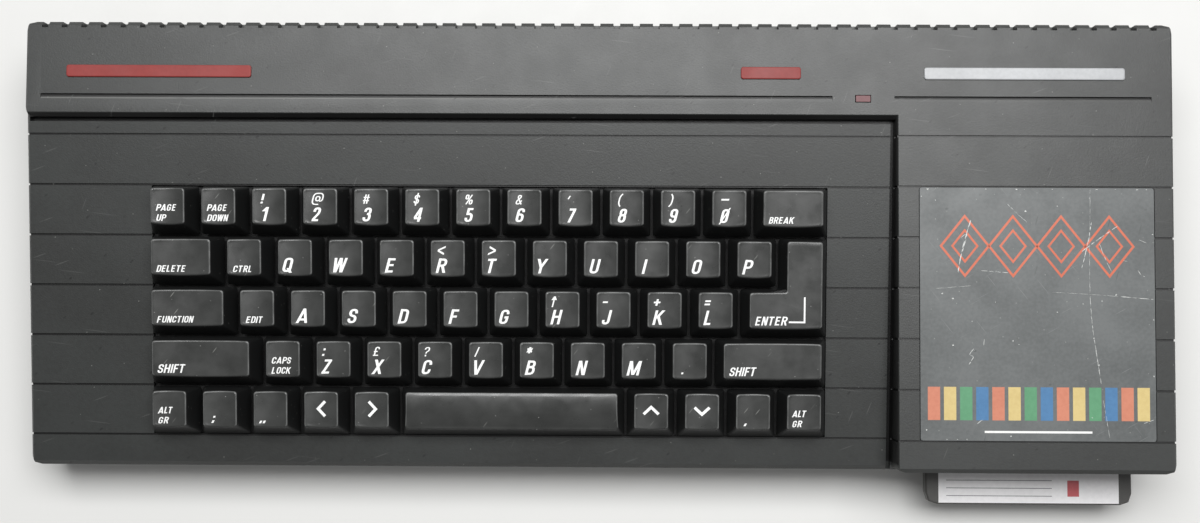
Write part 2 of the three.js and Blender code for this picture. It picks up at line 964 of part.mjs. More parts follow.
function keyFrame() {
  const halfWide = frameWidth / 2;
  const halfDeep = frameDepth / 2;
  const collar = key.plunger + 2 * (gap + frame.collarWall);
  const hole = key.plunger + 2 * gap;
  const moving = places.filter((place) => !onFrame(place));
  const stems = moving.flatMap((place) =>
    keyPlan(place).plungers.map(([x, y]) => [place.x + x, place.y + y]),
  );
  const tray = solid(
    block(-halfWide, halfWide, -halfDeep, halfDeep, membraneBottom, frameTop),
  ).subtract(
    solid(
      blockAround(
        0,
        0,
        frameWidth - 2 * frame.rimWall,
        frameDepth - 2 * frame.rimWall,
        membraneBottom - overrun,
        frameBottom,
      ),
    ),
  );
  const collars = stems.map(([x, y]) =>
    blockAround(x, y, collar, collar, frameTop - join, frameTop + frame.collarHeight),
  );
  const holes = stems.map(([x, y]) =>
    blockAround(x, y, hole, hole, frameBottom - join, frameTop + frame.collarHeight + join),
  );
  const tailNotches = tailPlaces.map((x) =>
    blockAround(
      x,
      halfDeep,
      membrane.tailWidth + 2 * gap,
      2 * frame.rimWall + 2 * gap,
      membraneBottom - overrun,
      membraneTop + gap,
    ),
  );
  const caps = places.filter(onFrame).map((place) => {
    const { footprints, plungers } = keyPlan(place);
    const shift = ([x0, x1, y0, y1]) => [
      x0 + place.x,
      x1 + place.x,
      y0 + place.y,
      y1 + place.y,
    ];
    return keyCap(
      footprints.map(shift),
      plungers.map(([x, y]) => [x + place.x, y + place.y]),
      frameTop - join,
    );
  });
  return joined([tray, solids(collars), ...caps]).subtract(solids([...holes, ...tailNotches]));
}

// A dome stands under the first plunger of each key.
function domeMat() {
  const mat = blockAround(0, 0, frameWidth - inFrame, frameDepth - inFrame, matBottom, matTop);
  const height = dome.height + join;
  const domes = places.flatMap((place) =>
    keyPlan(place).plungers.slice(0, 1).map(([x, y]) =>
      new THREE.CylinderGeometry(dome.topRadius, dome.footRadius, height, dome.sides)
        .rotateX(Math.PI / 2)
        .translate(place.x + x, place.y + y, domeTop - height / 2),
    ),
  );
  return solids([mat, ...domes]);
}

// The membrane's tails leave it to the rear and drop to their sockets on the board.
const tailPlaces = tailShares.map((share) => boardLeft + share * boardWidth - wellX);
const tailEnd = frameDepth / 2 + membrane.tailReach;
const tailLow =
  (boardTop +
    tailSocket.height +
    gap -
    keyboard.position.z -
    tailEnd * Math.sin(deckSlope)) /
  Math.cos(deckSlope);
const tailSocketY =
  wellY + tailEnd * Math.cos(deckSlope) - tailLow * Math.sin(deckSlope);

function keyMembrane() {
  const sheet = blockAround(
    0,
    0,
    frameWidth - inFrame,
    frameDepth - inFrame,
    membraneBottom,
    membraneTop,
  );
  const bend = membrane.thickness;
  const side = roundedOutline([
    [(frameDepth - inFrame) / 2 - join, membraneBottom],
    [tailEnd - bend, membraneBottom],
    [tailEnd - bend, tailLow],
    [tailEnd, tailLow],
    [tailEnd, membraneTop],
    [(frameDepth - inFrame) / 2 - join, membraneTop],
  ]);
  const tails = tailPlaces.map((x) =>
    alongX(side, x - membrane.tailWidth / 2, x + membrane.tailWidth / 2),
  );
  return solids([sheet, ...tails]);
}

function keyBackplate() {
  const sheet = blockAround(
    0,
    0,
    frameWidth,
    frameDepth,
    backplateTop - backplate.thickness,
    backplateTop,
  );
  const ribs = Array.from({ length: backplate.ribCount }, (_, index) =>
    blockAround(
      0,
      ((index + 1 / 2) / backplate.ribCount - 1 / 2) * frameDepth,
      wellWidth,
      backplate.ribWidth,
      backplateTop - backplate.thickness - backplate.ribHeight,
      backplateTop - backplate.thickness + join / 2,
    ),
  );
  return solids([sheet, ...ribs]);
}

// The main board carries its chips, sockets and the tongues of its edge connectors as one piece.
function mainBoard() {
  const low = boardTop - join;
  const on = ({ length, width, height }) => ([x, y]) =>
    blockAround(x, y, length, width, low, boardTop + height);
  const rearFace = boardRear;
  const widths = Object.values(edgeWidths);
  const sheet = block(
    boardLeft,
    boardLeft + boardWidth,
    boardFront,
    boardRear - wall,
    board.bottom,
    boardTop,
  );
  const tongues = edgeShares.map((share, index) =>
    block(
      share * halfWidth - widths[index] / 2,
      share * halfWidth + widths[index] / 2,
      boardRear - wall - join,
      rear - edgePlug.setIn,
      board.bottom,
      boardTop,
    ),
  );
  const housing = (share, { width, depth, height }) =>
    blockAround(
      share * halfWidth,
      rearFace - depth / 2,
      width,
      depth,
      low,
      boardTop + height,
    );
    const bodies = solids([
    sheet,
    ...tongues,
    ...chip40Shares.map(onBoard).map(on(chip40)),
    ...chip28Shares.map(onBoard).map(on(chip28)),
    ...chip16Shares.map(onBoard).map(on(chip16)),
    ...coolFinShares.map(onBoard).map(on(coolFin)),
    ...tailPlaces.map((x) => on(tailSocket)([wellX + x, tailSocketY])),
    ...roundShares.map((share) => housing(share, roundSocket)),
    ...phoneShares.map((share) => housing(share, phoneSocket)),
    housing(jackShare, jackSocket),
    blockAround(
      phonoShare * halfWidth,
      rearFace - modulator.width / 2,
      modulator.length,
      modulator.width,
      low,
      boardTop + modulator.height,
    ),
    lengthwise(
      phono.radius,
      phonoShare * halfWidth,
      boardTop + modulator.height / 2,
      rearFace - join,
      rear - phono.setIn,
      phono.sides,
    ),
    block(
      -halfWidth + reset.setIn + reset.length + reset.travel + gap,
      -halfWidth + reset.setIn + reset.length + reset.travel + gap + resetSwitch.size,
      resetY - resetSwitch.size / 2,
      resetY + resetSwitch.size / 2,
      low,
      boardTop + resetSwitch.height,
    ),
    ...joystickYs.flatMap(joystickBody),
  ]);
  const recessAt = (share, radius, z, depth, sides) =>
    lengthwise(radius, share * halfWidth, z, rearFace - depth, rearFace + overrun, sides);
  const mouths = solids([
    ...roundShares.map((share) =>
      recessAt(
        share,
        roundSocket.radius,
        boardTop + roundSocket.height / 2,
        roundSocket.recess,
        roundSocket.sides,
      ),
    ),
    recessAt(
      jackShare,
      jackSocket.radius,
      boardTop + jackSocket.height / 2,
      jackSocket.recess,
      jackSocket.sides,
    ),
    lengthwise(
      phono.bore,
      phonoShare * halfWidth,
      boardTop + modulator.height / 2,
      rear - phono.setIn - phono.recess,
      rear + overrun,
      phono.sides,
    ),
    ...phoneShares.map((share) =>
      block(
        share * halfWidth - phoneSocket.mouth / 2,
        share * halfWidth + phoneSocket.mouth / 2,
        rearFace - phoneSocket.recess,
        rearFace + overrun,
        boardTop + (phoneSocket.height - phoneSocket.mouthHeight) / 2,
        boardTop + (phoneSocket.height + phoneSocket.mouthHeight) / 2,
      ),
    ),
    ...joystickYs.map(joystickMouth),
    ...postPlaces.map(([x, y]) =>
      upright(
        post.radius + 2 * gap,
        x,
        y,
        board.bottom - overrun,
        boardTop + overrun,
        post.sides,
      ),
    ),
  ]);
  return bodies.subtract(mouths);
}

// A joystick socket: its housing stands behind the wall and its shroud reaches through it.
function joystickBody(y) {
  return [
    block(
      joystickFace,
      joystickFace + joystick.bodyDepth,
      y - joystick.width / 2,
      y + joystick.width / 2,
      boardTop - join,
      boardTop + joystick.height,
    ),
    alongX(shroudOutline(y, joystickZ, 0), shroudEnd, joystickFace + join),
  ];
}
const joystickMouth = (y) =>
  alongX(
    shroudOutline(y, joystickZ, joystick.shroudWall),
    shroudEnd - overrun,
    shroudEnd + joystick.recess,
  );

// The disc drive. Its pieces are drawn about the disc's middle line, with Y counted from the
// front of the case.
const discTop = disc.height + disc.thickness / 2;
const discBottom = disc.height - disc.thickness / 2;
const leading = disc.length - disc.proud;
const hubY = leading - disc.hubFromLeading;
const bezelBack = bezel.recess + bezel.thickness;
const chassisFront = bezelBack + gap;
const carriageRear = leading + carriage.behindDisc + carriage.travel + carriage.depth;
const chassisRear = carriageRear + chassis.behindCarriage;
const chassisLow = floorTop + gap;
const ejectX = bezelWidth / 2 - eject.fromSide;

function discShell() {
  const half = disc.width / 2;
  const shell = solid(
    alongZ(
      rectangle(-half, half, -disc.proud, leading, disc.cornerRadius),
      discBottom,
      discTop,
      disc.edgeBevel,
    ),
  );
  const relief = (width, from, to) => [
    block(-width / 2, width / 2, from, to, discTop - disc.reliefDepth, discTop + overrun),
    block(-width / 2, width / 2, from, to, discBottom - overrun, discBottom + disc.reliefDepth),
  ];
  const keyNotches = [-1, 1].map((side) =>
    blockAround(
      side * half,
      leading - disc.hubFromLeading / 2,
      disc.keyNotch,
      disc.keyNotch,
      discBottom - overrun,
      discTop + overrun,
    ),
  );
  return shell.subtract(
    solids([
      ...relief(
        disc.labelWidth,
        -disc.proud - overrun,
        -disc.proud + disc.labelLength - disc.hubRadius - overrun,
      ),
      ...relief(disc.shutterWidth, leading - disc.shutterLength, leading + overrun),
      upright(
        disc.hubRadius,
        0,
        hubY,
        discBottom - overrun,
        discTop + overrun,
        disc.hubSides,
      ),
      ...keyNotches,
    ]),
  );
}

function driveBezel() {
  const half = bezelWidth / 2;
  const slotHalf = disc.thickness / 2 + bezel.slotMargin;
  const plate = solid(
    block(-half, half, bezel.recess, bezelBack, bezel.bottom, bezel.top),
  );
  return plate.subtract(
    solids([
      block(
        -disc.width / 2 - bezel.slotMargin,
        disc.width / 2 + bezel.slotMargin,
        bezel.recess - overrun,
        bezelBack + overrun,
        disc.height - slotHalf,
        disc.height + slotHalf,
      ),
      lengthwise(
        bezel.scoopRadius,
        0,
        disc.height,
        bezel.recess - overrun,
        bezel.recess + bezel.scoopDepth,
        bezel.scoopSides,
      ),
      block(
        ejectX - eject.width / 2 - gap,
        ejectX + eject.width / 2 + gap,
        bezel.recess - overrun,
        bezelBack + overrun,
        eject.middle - eject.height / 2 - gap,
        eject.middle + eject.height / 2 + gap,
      ),
    ]),
  );
}

function ejectButton() {
  const face = bezel.recess - eject.proud;
  const around = (width, height, from, to) =>
    block(
      ejectX - width / 2,
      ejectX + width / 2,
      from,
      to,
      eject.middle - height / 2,
      eject.middle + height / 2,
    );
  return solids([
    around(eject.width, eject.height, face, chassisFront + join),
    around(
      eject.width + 2 * eject.shoulder,
      eject.height + 2 * eject.shoulder,
      chassisFront,
      chassisFront + eject.shoulderDepth,
    ),
    around(eject.stemWidth, eject.stemHeight, chassisFront, face + eject.length),
  ]);
}

function driveChassis() {
  const half = bezelWidth / 2;
  const railTop = discTop + gap + chassis.railLip;
  const railBottom = discBottom - gap - chassis.railLip;
  const railInner = disc.width / 2 - chassis.railReach;
  const deckHigh = chassis.deckLow + chassis.deckThickness;
  const barFront = leading - chassis.barFromLeading - chassis.barDepth;
  const top = chassisLow + chassis.height;
  const across = (side, inner, outer) => (side < 0 ? [-outer, -inner] : [inner, outer]);
  const sides = [-1, 1].flatMap((side) => [
    block(...across(side, half - chassis.sheet, half), chassisFront, chassisRear, chassisLow, top),
    block(
      ...across(side, railInner, half - chassis.sheet + join),
      chassisFront,
      leading,
      railBottom,
      railTop,
    ),
    lengthwise(
      chassis.rodRadius,
      (side * chassis.rodSpacing) / 2,
      chassis.rodHeight,
      barFront + join,
      chassisRear - join,
      chassis.rodSides,
    ),
  ]);
  const frameBody = solids([
    ...sides,
    block(
      -half + join,
      half - join,
      chassisFront + chassis.deckSetback,
      chassisRear,
      chassis.deckLow,
      deckHigh,
    ),
    block(-half, half, chassisRear - chassis.sheet, chassisRear, chassisLow, top),
    block(
      -half + join,
      half - join,
      barFront,
      barFront + chassis.barDepth,
      chassis.rodHeight - chassis.barHeight / 2,
      chassis.rodHeight + chassis.barHeight / 2,
    ),
  ]);
  return frameBody.subtract(
    solids([
      block(
        -disc.width / 2 - gap,
        disc.width / 2 + gap,
        chassisFront - overrun,
        leading + overrun,
        discBottom - gap,
        discTop + gap,
      ),
      upright(
        hub.shaftRadius + gap,
        0,
        hubY,
        chassis.deckLow - join,
        deckHigh + join,
        hub.sides,
      ),
    ]),
  );
}

// The spindle turns in the chassis: a belt pulley below its deck and the disc's hub above it.
function driveHub() {
  const pulleyTop = chassis.deckLow - gap;
  const pulleyLow = pulleyTop - hub.pulleyThickness;
  const hubLow = chassis.deckLow + chassis.deckThickness + gap;
  const hubHigh = discBottom - gap;
  const profile = [
    [0, pulleyLow],
    [hub.pulleyRadius, pulleyLow],
    [hub.pulleyRadius - hub.beltGroove, (pulleyLow + pulleyTop) / 2],
    [hub.pulleyRadius, pulleyTop],
    [hub.shaftRadius, pulleyTop],
    [hub.shaftRadius, hubLow],
    [hub.radius, hubLow],
    [hub.radius, hubLow + hub.shoulderHeight],
    [hub.noseRadius, hubLow + hub.shoulderHeight],
    [hub.noseRadius, hubHigh],
    [0, hubHigh],
  ].map(([radius, height]) => new THREE.Vector2(radius, height));
  return solid(
    new THREE.LatheGeometry(profile, hub.sides).rotateX(Math.PI / 2).translate(0, hubY, 0),
  );
}

// The heads ride on two rods behind the disc and reach over and under it.
function headCarriage() {
  const start = carriageRear - carriage.depth;
  const armTip = leading - carriage.armReach;
  const lowTop = discBottom - carriage.armSpace;
  const highLow = discTop + carriage.armSpace;
  const bore = chassis.rodRadius + gap;
  const low = lowTop - carriage.armThickness;
  const headLength = carriage.armSpace - gap;
  const arm = (from, to) =>
    block(-carriage.armWidth / 2, carriage.armWidth / 2, armTip, start + join, from, to);
  const head = (from, to) =>
    blockAround(0, armTip + carriage.headSize, carriage.headSize, carriage.headSize, from, to);
  return solids([
    block(
      -carriage.width / 2,
      carriage.width / 2,
      start,
      carriageRear,
      low,
      chassis.rodHeight + bore + carriage.boreWall,
    ),
    arm(low, lowTop),
    arm(highLow, highLow + carriage.armThickness),
    head(lowTop - join, lowTop + headLength),
    head(highLow - headLength, highLow + join),
  ]).subtract(
    solids(
      [-1, 1].map((side) =>
        lengthwise(
          bore,
          (side * chassis.rodSpacing) / 2,
          chassis.rodHeight,
          start - overrun,
          carriageRear + overrun,
          chassis.rodSides,
        ),
      ),
    ),
  );
}

function powerLed() {
  const x = blockLeft - ledPlace.beforeBlock;
  const y = stepY + ledPlace.fromBandFront;
  const top = blockTop(y) + led.proud;
  const flangeTop = blockTop(y) - wall - gap;
  return solids([
    blockAround(x, y, led.width, led.depth, top - led.height, top),
    blockAround(
      x,
      y,
      led.width + 2 * led.flange,
      led.depth + 2 * led.flange,
      flangeTop - led.flangeHeight,
      flangeTop,
    ),
  ]);
}

function resetButton() {
  const face = -halfWidth + reset.setIn;
  const flangeStart = -halfWidth + wall + gap;
  return solids([
    crosswise(reset.radius, resetY, reset.height, face, face + reset.length, reset.sides),
    crosswise(
      reset.radius + reset.flange,
      resetY,
      reset.height,
      flangeStart,
      flangeStart + reset.flange,
      reset.sides,
    ),
  ]);
}

function labelPlate() {
  return solid(
    alongZ(
      rectangle(
        -label.width / 2,
        label.width / 2,
        -wellDepth / 2 + gap,
        wellDepth / 2 - gap,
        label.radius,
      ),
      label.proud - label.thickness,
      label.proud,
    ),
  );
}

// The assembly
const charcoal = 0x565755;
const keyGrey = 0x3f4140;
const machine = new THREE.Group();
machine.position.y = disc.proud / 2;

machine.add(
  piece("upper_case", upperCase(), charcoal, 0.6),
  piece("lower_case", lowerCase(), 0x2f302f, 0.65),
  piece("main_board", mainBoard(), 0x2c5a36, 0.5),
  piece("power_led", powerLed(), 0xb4565a, 0.3),
  piece("reset_button", resetButton(), keyGrey, 0.5),
);

labelSeat.add(piece("label_plate", labelPlate(), 0x6e7071, 0.4));
machine.add(labelSeat);

keyboard.add(
  piece("key_frame", keyFrame(), keyGrey, 0.5),
  piece("dome_mat", domeMat(), 0x9a9a92, 0.9),
  piece("key_membrane", keyMembrane(), 0xb9c4c6, 0.35),
  piece("key_backplate", keyBackplate(), 0x9b9fa1, 0.4, 0.9),
);
for (const place of places.filter((one) => !onFrame(one))) {
  const { footprints, plungers, flat } = keyPlan(place);
  const cap = piece(
    "key_" + place.name,
    keyCap(footprints, plungers, plungerBottom, !flat),
    keyGrey,
    0.4,
  );
  cap.position.set(place.x, place.y, 0);
  keyboard.add(cap);
}
machine.add(keyboard);

const drive = new THREE.Group();
drive.position.set(driveX, front, 0);
drive.add(
  piece("drive_chassis", driveChassis(), 0xa7a9aa, 0.45, 0.8),
  piece("drive_bezel", driveBezel(), 0x262727, 0.55),
  piece("eject_button", ejectButton(), 0x333434, 0.5),
  piece("drive_hub", driveHub(), 0xc9cbcc, 0.3, 1),
  piece("head_carriage", headCarriage(), 0x8d9092, 0.4, 0.6),
  piece("disc_shell", discShell(), 0x3a3b3c, 0.45),
);
machine.add(drive);

const computer = new THREE.Group();
computer.add(machine);
export default computer;
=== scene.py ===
"""Looks of a vintage home computer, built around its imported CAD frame.

Lengths in the tables and functions are millimetres, and MM turns them to metres. The frame's origin lies
on the desk, with +X to the right, +Y to the rear and +Z up.
"""

import math

import bmesh
import bpy
import numpy as np
from mathutils import Matrix, Vector


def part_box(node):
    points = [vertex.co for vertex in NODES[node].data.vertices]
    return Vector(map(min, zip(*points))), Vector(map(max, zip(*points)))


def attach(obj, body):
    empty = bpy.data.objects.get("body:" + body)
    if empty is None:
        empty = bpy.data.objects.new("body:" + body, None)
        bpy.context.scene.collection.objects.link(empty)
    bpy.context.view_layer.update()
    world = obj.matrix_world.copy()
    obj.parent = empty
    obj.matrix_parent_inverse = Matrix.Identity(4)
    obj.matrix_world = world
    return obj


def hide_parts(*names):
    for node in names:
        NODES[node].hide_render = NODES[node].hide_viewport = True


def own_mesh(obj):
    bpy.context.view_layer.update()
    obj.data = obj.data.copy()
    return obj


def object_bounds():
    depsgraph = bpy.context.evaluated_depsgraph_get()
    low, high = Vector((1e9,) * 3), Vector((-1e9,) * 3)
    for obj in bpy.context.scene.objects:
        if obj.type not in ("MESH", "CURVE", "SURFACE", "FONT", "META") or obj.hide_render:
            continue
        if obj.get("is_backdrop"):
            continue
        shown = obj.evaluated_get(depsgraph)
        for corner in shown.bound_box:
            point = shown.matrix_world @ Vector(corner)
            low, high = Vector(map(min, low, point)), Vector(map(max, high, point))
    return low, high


bl_info = {
    "name": "Vintage Home Computer",
    "version": (1, 0, 0),
    "blender": (4, 5, 0),
    "location": "3D View > Sidebar > Computer",
    "description": "Dresses a home computer's frame with key caps, shells, prints and finishes",
    "category": "Add Mesh",
}

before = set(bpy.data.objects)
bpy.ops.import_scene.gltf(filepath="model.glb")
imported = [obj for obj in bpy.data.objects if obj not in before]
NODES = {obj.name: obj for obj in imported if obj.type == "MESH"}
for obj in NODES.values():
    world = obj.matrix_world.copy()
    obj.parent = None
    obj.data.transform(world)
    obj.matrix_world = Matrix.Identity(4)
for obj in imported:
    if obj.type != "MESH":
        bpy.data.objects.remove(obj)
CAD_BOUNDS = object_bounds()
MM = 0.001

# The keyboard's plane, from the case's driving sizes
KEY_PITCH = 19.05
CASE_WIDTH = 433.7
CASE_DEPTH = 168.9
MIDDLE_Y = 7.1  # the case's middle lies this far behind the frame's origin
BAND_DEPTH = 36.2
FRONT = MIDDLE_Y - CASE_DEPTH / 2
REAR = MIDDLE_Y + CASE_DEPTH / 2
STEP_Y = REAR - BAND_DEPTH
DECK_FRONT, DECK_REAR = 27.4, 40.4
BLOCK_FRONT, BLOCK_REAR = 40.7, 42.9
WELL_LEFT, WELL_FRONT = 47.4, 11.9
ROW_UNITS = 13.5
WELL_WIDTH = ROW_UNITS * KEY_PITCH
WELL_DEPTH = 5 * KEY_PITCH
WELL_X = -CASE_WIDTH / 2 + WELL_LEFT + WELL_WIDTH / 2
WELL_Y = FRONT + WELL_FRONT + WELL_DEPTH / 2
DECK_SLOPE = math.atan2(DECK_REAR - DECK_FRONT, STEP_Y - FRONT)
BLOCK_SLOPE = math.atan2(BLOCK_REAR - BLOCK_FRONT, CASE_DEPTH)
BLOCK_LEFT = 112.85

# A key's sizes, in the keyboard's own frame, whose plane is the top of the deck
SPACING = 0.85
SKIRT = 1.0
TOP = 11.1
LEAN_SIDE, LEAN_FRONT, LEAN_REAR = 2.85, 4.3, 0.75
CAP_RADIUS = 1.0
SKIN = 1.2
CEILING = 9.1
PLUNGER = 5.0
PLATE_TOP = -2.8
PLATE_BOTTOM = -4.6
PLUNGER_LOW = -4.9
COLLAR_HEIGHT = 4.5
COLLAR_WALL = 1.3
GAP = 0.3
RIM_WALL = 2.0
RIM_MARGIN = 6.0
RIM_BOTTOM = -8.4
DOME_TOP = PLUNGER_LOW - GAP
MAT_TOP = DOME_TOP - 4.2
MAT_BOTTOM = MAT_TOP - 0.9
FOOT_INSET = 0.15  # the skirt's foot is narrower by this, so that it isn't sharp
TROUGH_EDGE = 0.3  # the trough in a top ends this far inside its edges
CROWN_LINE = 0.33  # the space bar is highest at this share of the way from its rear

# Keys of each row from left to right: name, width in key pitches, and what is printed on it.
# A plain string is the large letter, ^ puts a sign above it, | parts the lines of a word, ~ marks a larger
# word, and < before a direction marks an arrowhead.
ROWS = [
    [("video_plain", 1, "PAGE|UP"), ("video_inverse", 1, "PAGE|DOWN"), ("1", 1, "1^!"), ("2", 1, "2^@"),
     ("3", 1, "3^#"), ("4", 1, "4^$"), ("5", 1, "5^%"), ("6", 1, "6^&"), ("7", 1, "7^'"), ("8", 1, "8^("),
     ("9", 1, "9^)"), ("0", 1, "Ø^_"), ("break", 1.5, "|BREAK")],
    [("delete", 1.5, "|DELETE"), ("graphics", 1, "|CTRL"), ("q", 1, "Q"), ("w", 1, "W"), ("e", 1, "E"),
     ("r", 1, "R^<"), ("t", 1, "T^>"), ("y", 1, "Y"), ("u", 1, "U"), ("i", 1, "I"), ("o", 1, "O"),
     ("p", 1, "P")],
    [("extend", 1.75, "|FUNCTION"), ("edit", 1, "|EDIT"), ("a", 1, "A"), ("s", 1, "S"), ("d", 1, "D"),
     ("f", 1, "F"), ("g", 1, "G"), ("h", 1, "H^↑"), ("j", 1, "J^-"), ("k", 1, "K^+"), ("l", 1, "L^="),
     ("enter", 1.75, "~ENTER")],
    [("shift_left", 2.25, "~SHIFT"), ("caps_lock", 1, "CAPS|LOCK"), ("z", 1, "Z^:"), ("x", 1, "X^£"),
     ("c", 1, "C^?"), ("v", 1, "V^/"), ("b", 1, "B^*"), ("n", 1, "N"), ("m", 1, "M"), ("period", 1, "."),
     ("shift_right", 2.25, "~SHIFT")],
    [("symbol_left", 1, "ALT|GR"), ("semicolon", 1, ";"), ("quote", 1, ",,"), ("arrow_left", 1, "<left"),
     ("arrow_right", 1, "<right"), ("space", 4.5, ""), ("arrow_up", 1, "<up"), ("arrow_down", 1, "<down"),
     ("comma", 1, ","), ("symbol_right", 1, "ALT|GR")],
]
SPACE_GUIDES = (0, -0.38, 0.38)

# Letters and signs as strokes, in hundredths of their height. Strokes part at ;, and a stroke's points at
# blanks. Two points make a straight bar, and more make a line whose bends are rounded.
GLYPHS = {
    "A": "8,0 37,100;66,0 37,100;18,24 56,24",
    "B": "10,0 10,100;10,92 50,92 50,55 10,55;10,53 53,53 53,8 10,8",
    "C": "51,66 51,92 10,92 10,8 51,8 51,34",
    "D": "10,0 10,100;10,92 52,92 52,8 10,8",
    "E": "10,0 10,100;10,92 52,92;10,52 48,52;10,8 52,8",
    "F": "10,0 10,100;10,92 52,92;10,50 46,50",
    "G": "51,68 51,92 10,92 10,8 51,8 51,50;32,46 60,46",
    "H": "10,0 10,100;54,0 54,100;10,52 54,52",
    "I": "10,0 10,100",
    "J": "44,100 44,8 9,8 9,32",
    "K": "10,0 10,100;57,100 18,44;28,60 59,0",
    "L": "10,0 10,100;10,8 48,8",
    "M": "10,0 10,100;76,0 76,100;13,100 42,4;73,100 44,4",
    "N": "10,0 10,100;54,0 54,100;13,100 51,0",
    "O": "31,92 52,92 52,8 10,8 10,92 31,92",
    "P": "10,0 10,100;10,92 53,92 53,46 10,46",
    "Q": "31,92 52,92 52,8 10,8 10,92 31,92;38,28 60,-4",
    "R": "10,0 10,100;10,92 53,92 53,50 10,50;34,50 56,0",
    "S": "50,68 50,92 10,92 10,55 50,47 50,8 9,8 9,32",
    "T": "31,0 31,100;2,92 60,92",
    "U": "10,100 10,8 53,8 53,100",
    "V": "9,100 34,0;64,100 37,0",
    "W": "9,100 22,0;44,100 25,0;46,100 62,0;80,100 65,0",
    "X": "10,0 56,100;10,100 56,0",
    "Y": "9,100 36,42;64,100 36,42;36,0 36,50",
    "Z": "6,92 54,92;4,8 54,8;13,8 47,92",
    "Ø": "27,92 44,92 44,8 9,8 9,92 27,92;2,-8 51,108",
    "1": "30,0 30,100;30,98 8,70",
    "2": "10,68 10,92 44,92 44,60 12,14;4,8 48,8",
    "3": "9,70 9,92 43,92 43,54 24,54;24,54 45,54 45,8 9,8 9,30",
    "4": "38,0 38,100;36,98 8,30;3,25 52,25",
    "5": "12,92 46,92;14,50 14,99;12,57 45,57 45,8 9,8 9,30",
    "6": "44,72 44,92 9,92 9,8 45,8 45,55 9,55",
    "7": "5,92 50,92;43,92 20,0",
    "8": "27,53 11,53 11,92 43,92 43,53 27,53;27,53 9,53 9,8 45,8 45,53 27,53",
    "9": "9,28 9,8 44,8 44,92 8,92 8,45 44,45",
    "!": "14,34 14,100;14,0 14,18",
    "@": "76,-8 8,-8 8,108 108,108 108,26 78,26;56,74 78,74 78,30 38,30 38,74 56,74",
    "#": "20,2 20,98;46,2 46,98;2,34 64,34;2,68 64,68",
    "$": "48,70 48,90 8,90 8,55 48,46 48,10 8,10 8,32;28,-16 28,116",
    "%": "18,96 30,96 30,56 6,56 6,96 18,96;64,44 76,44 76,4 52,4 52,44 64,44;20,0 62,100",
    "&": "62,2 16,70 16,94 44,94 44,72 8,38 8,6 42,6 58,44",
    "'": "6,58 20,92",
    "(": "32,116 8,92 8,8 32,-16",
    ")": "4,116 28,92 28,8 4,-16",
    "_": "2,60 84,60",
    "<": "10,46 82,84;10,46 82,8",
    ">": "82,46 10,84;82,46 10,8",
    ":": "14,0 14,20;14,58 14,78",
    "£": "52,72 52,92 18,92 18,8;4,8 56,8;4,48 42,48",
    "?": "6,72 6,92 46,92 46,58 22,46 22,30;22,0 22,18",
    "/": "10,0 30,100",
    "*": "34,38 34,102;8,54 60,86;8,86 60,54",
    "-": "4,46 56,46",
    "+": "4,46 72,46;38,12 38,80",
    "=": "4,28 62,28;4,62 62,62",
    ".": "14,2 14,24",
    ",": "16,22 8,-10",
    ";": "16,22 8,-10;14,56 14,78",
    "↑": "22,-8 22,98;2,66 22,104;42,66 22,104",
}
FINE_SIGNS = "@#$%&'()?/£↑"
# Strokes that are thinner than the rest of their letter, by their place in it
THIN_STROKES = {("Ø", 1): 0.5}
# Pairs that stand closer than the rest, in hundredths of the letter height
CLOSER = {"FT": 10, "LT": 15, "PA": 7, "PS": 3}
LEAN = 0.25  # sideways for each unit of height
LETTER_GAP = 2  # between letters, in hundredths of their height
LEVEL_WEIGHT = 0.8  # level strokes, as a share of upright ones
FINE_WEIGHT = 0.64  # strokes of fine signs, as a share of letters'
# Each kind of printing: its start to the right of and behind the front left corner of a key's top in mm,
# its height as a share of the word or letter height, and its weight. A sign starts at its letter's top.
PRINTING = {
    "word": (1.8, 0.9, 1.0, 1.0), "large word": (1.8, 1.0, 1.34, 0.95), "letter": (1.6, 1.0, 1.0, 0.94),
    "digit": (2.6, 1.0, 0.97, 0.94), "sign": (0.1, 1.35, 0.66, 1.15), "stop": (3.0, 1.5, 0.56, 1.3),
    "two stops": (2.0, 1.5, 0.56, 1.3),
}
ARROWHEAD = (5.6, 2.6, 1.05)  # its reach, its rise and the width of its strokes in mm
# How far a large letter stands to the right of the rest, in mm
NUDGES = {"C": -0.8, "G": -0.4, "I": 0.7, "Q": -0.5, "T": -0.7, "V": -1.1, "W": -0.9, "X": -0.3, "Y": -1.2,
          "Z": -0.3}

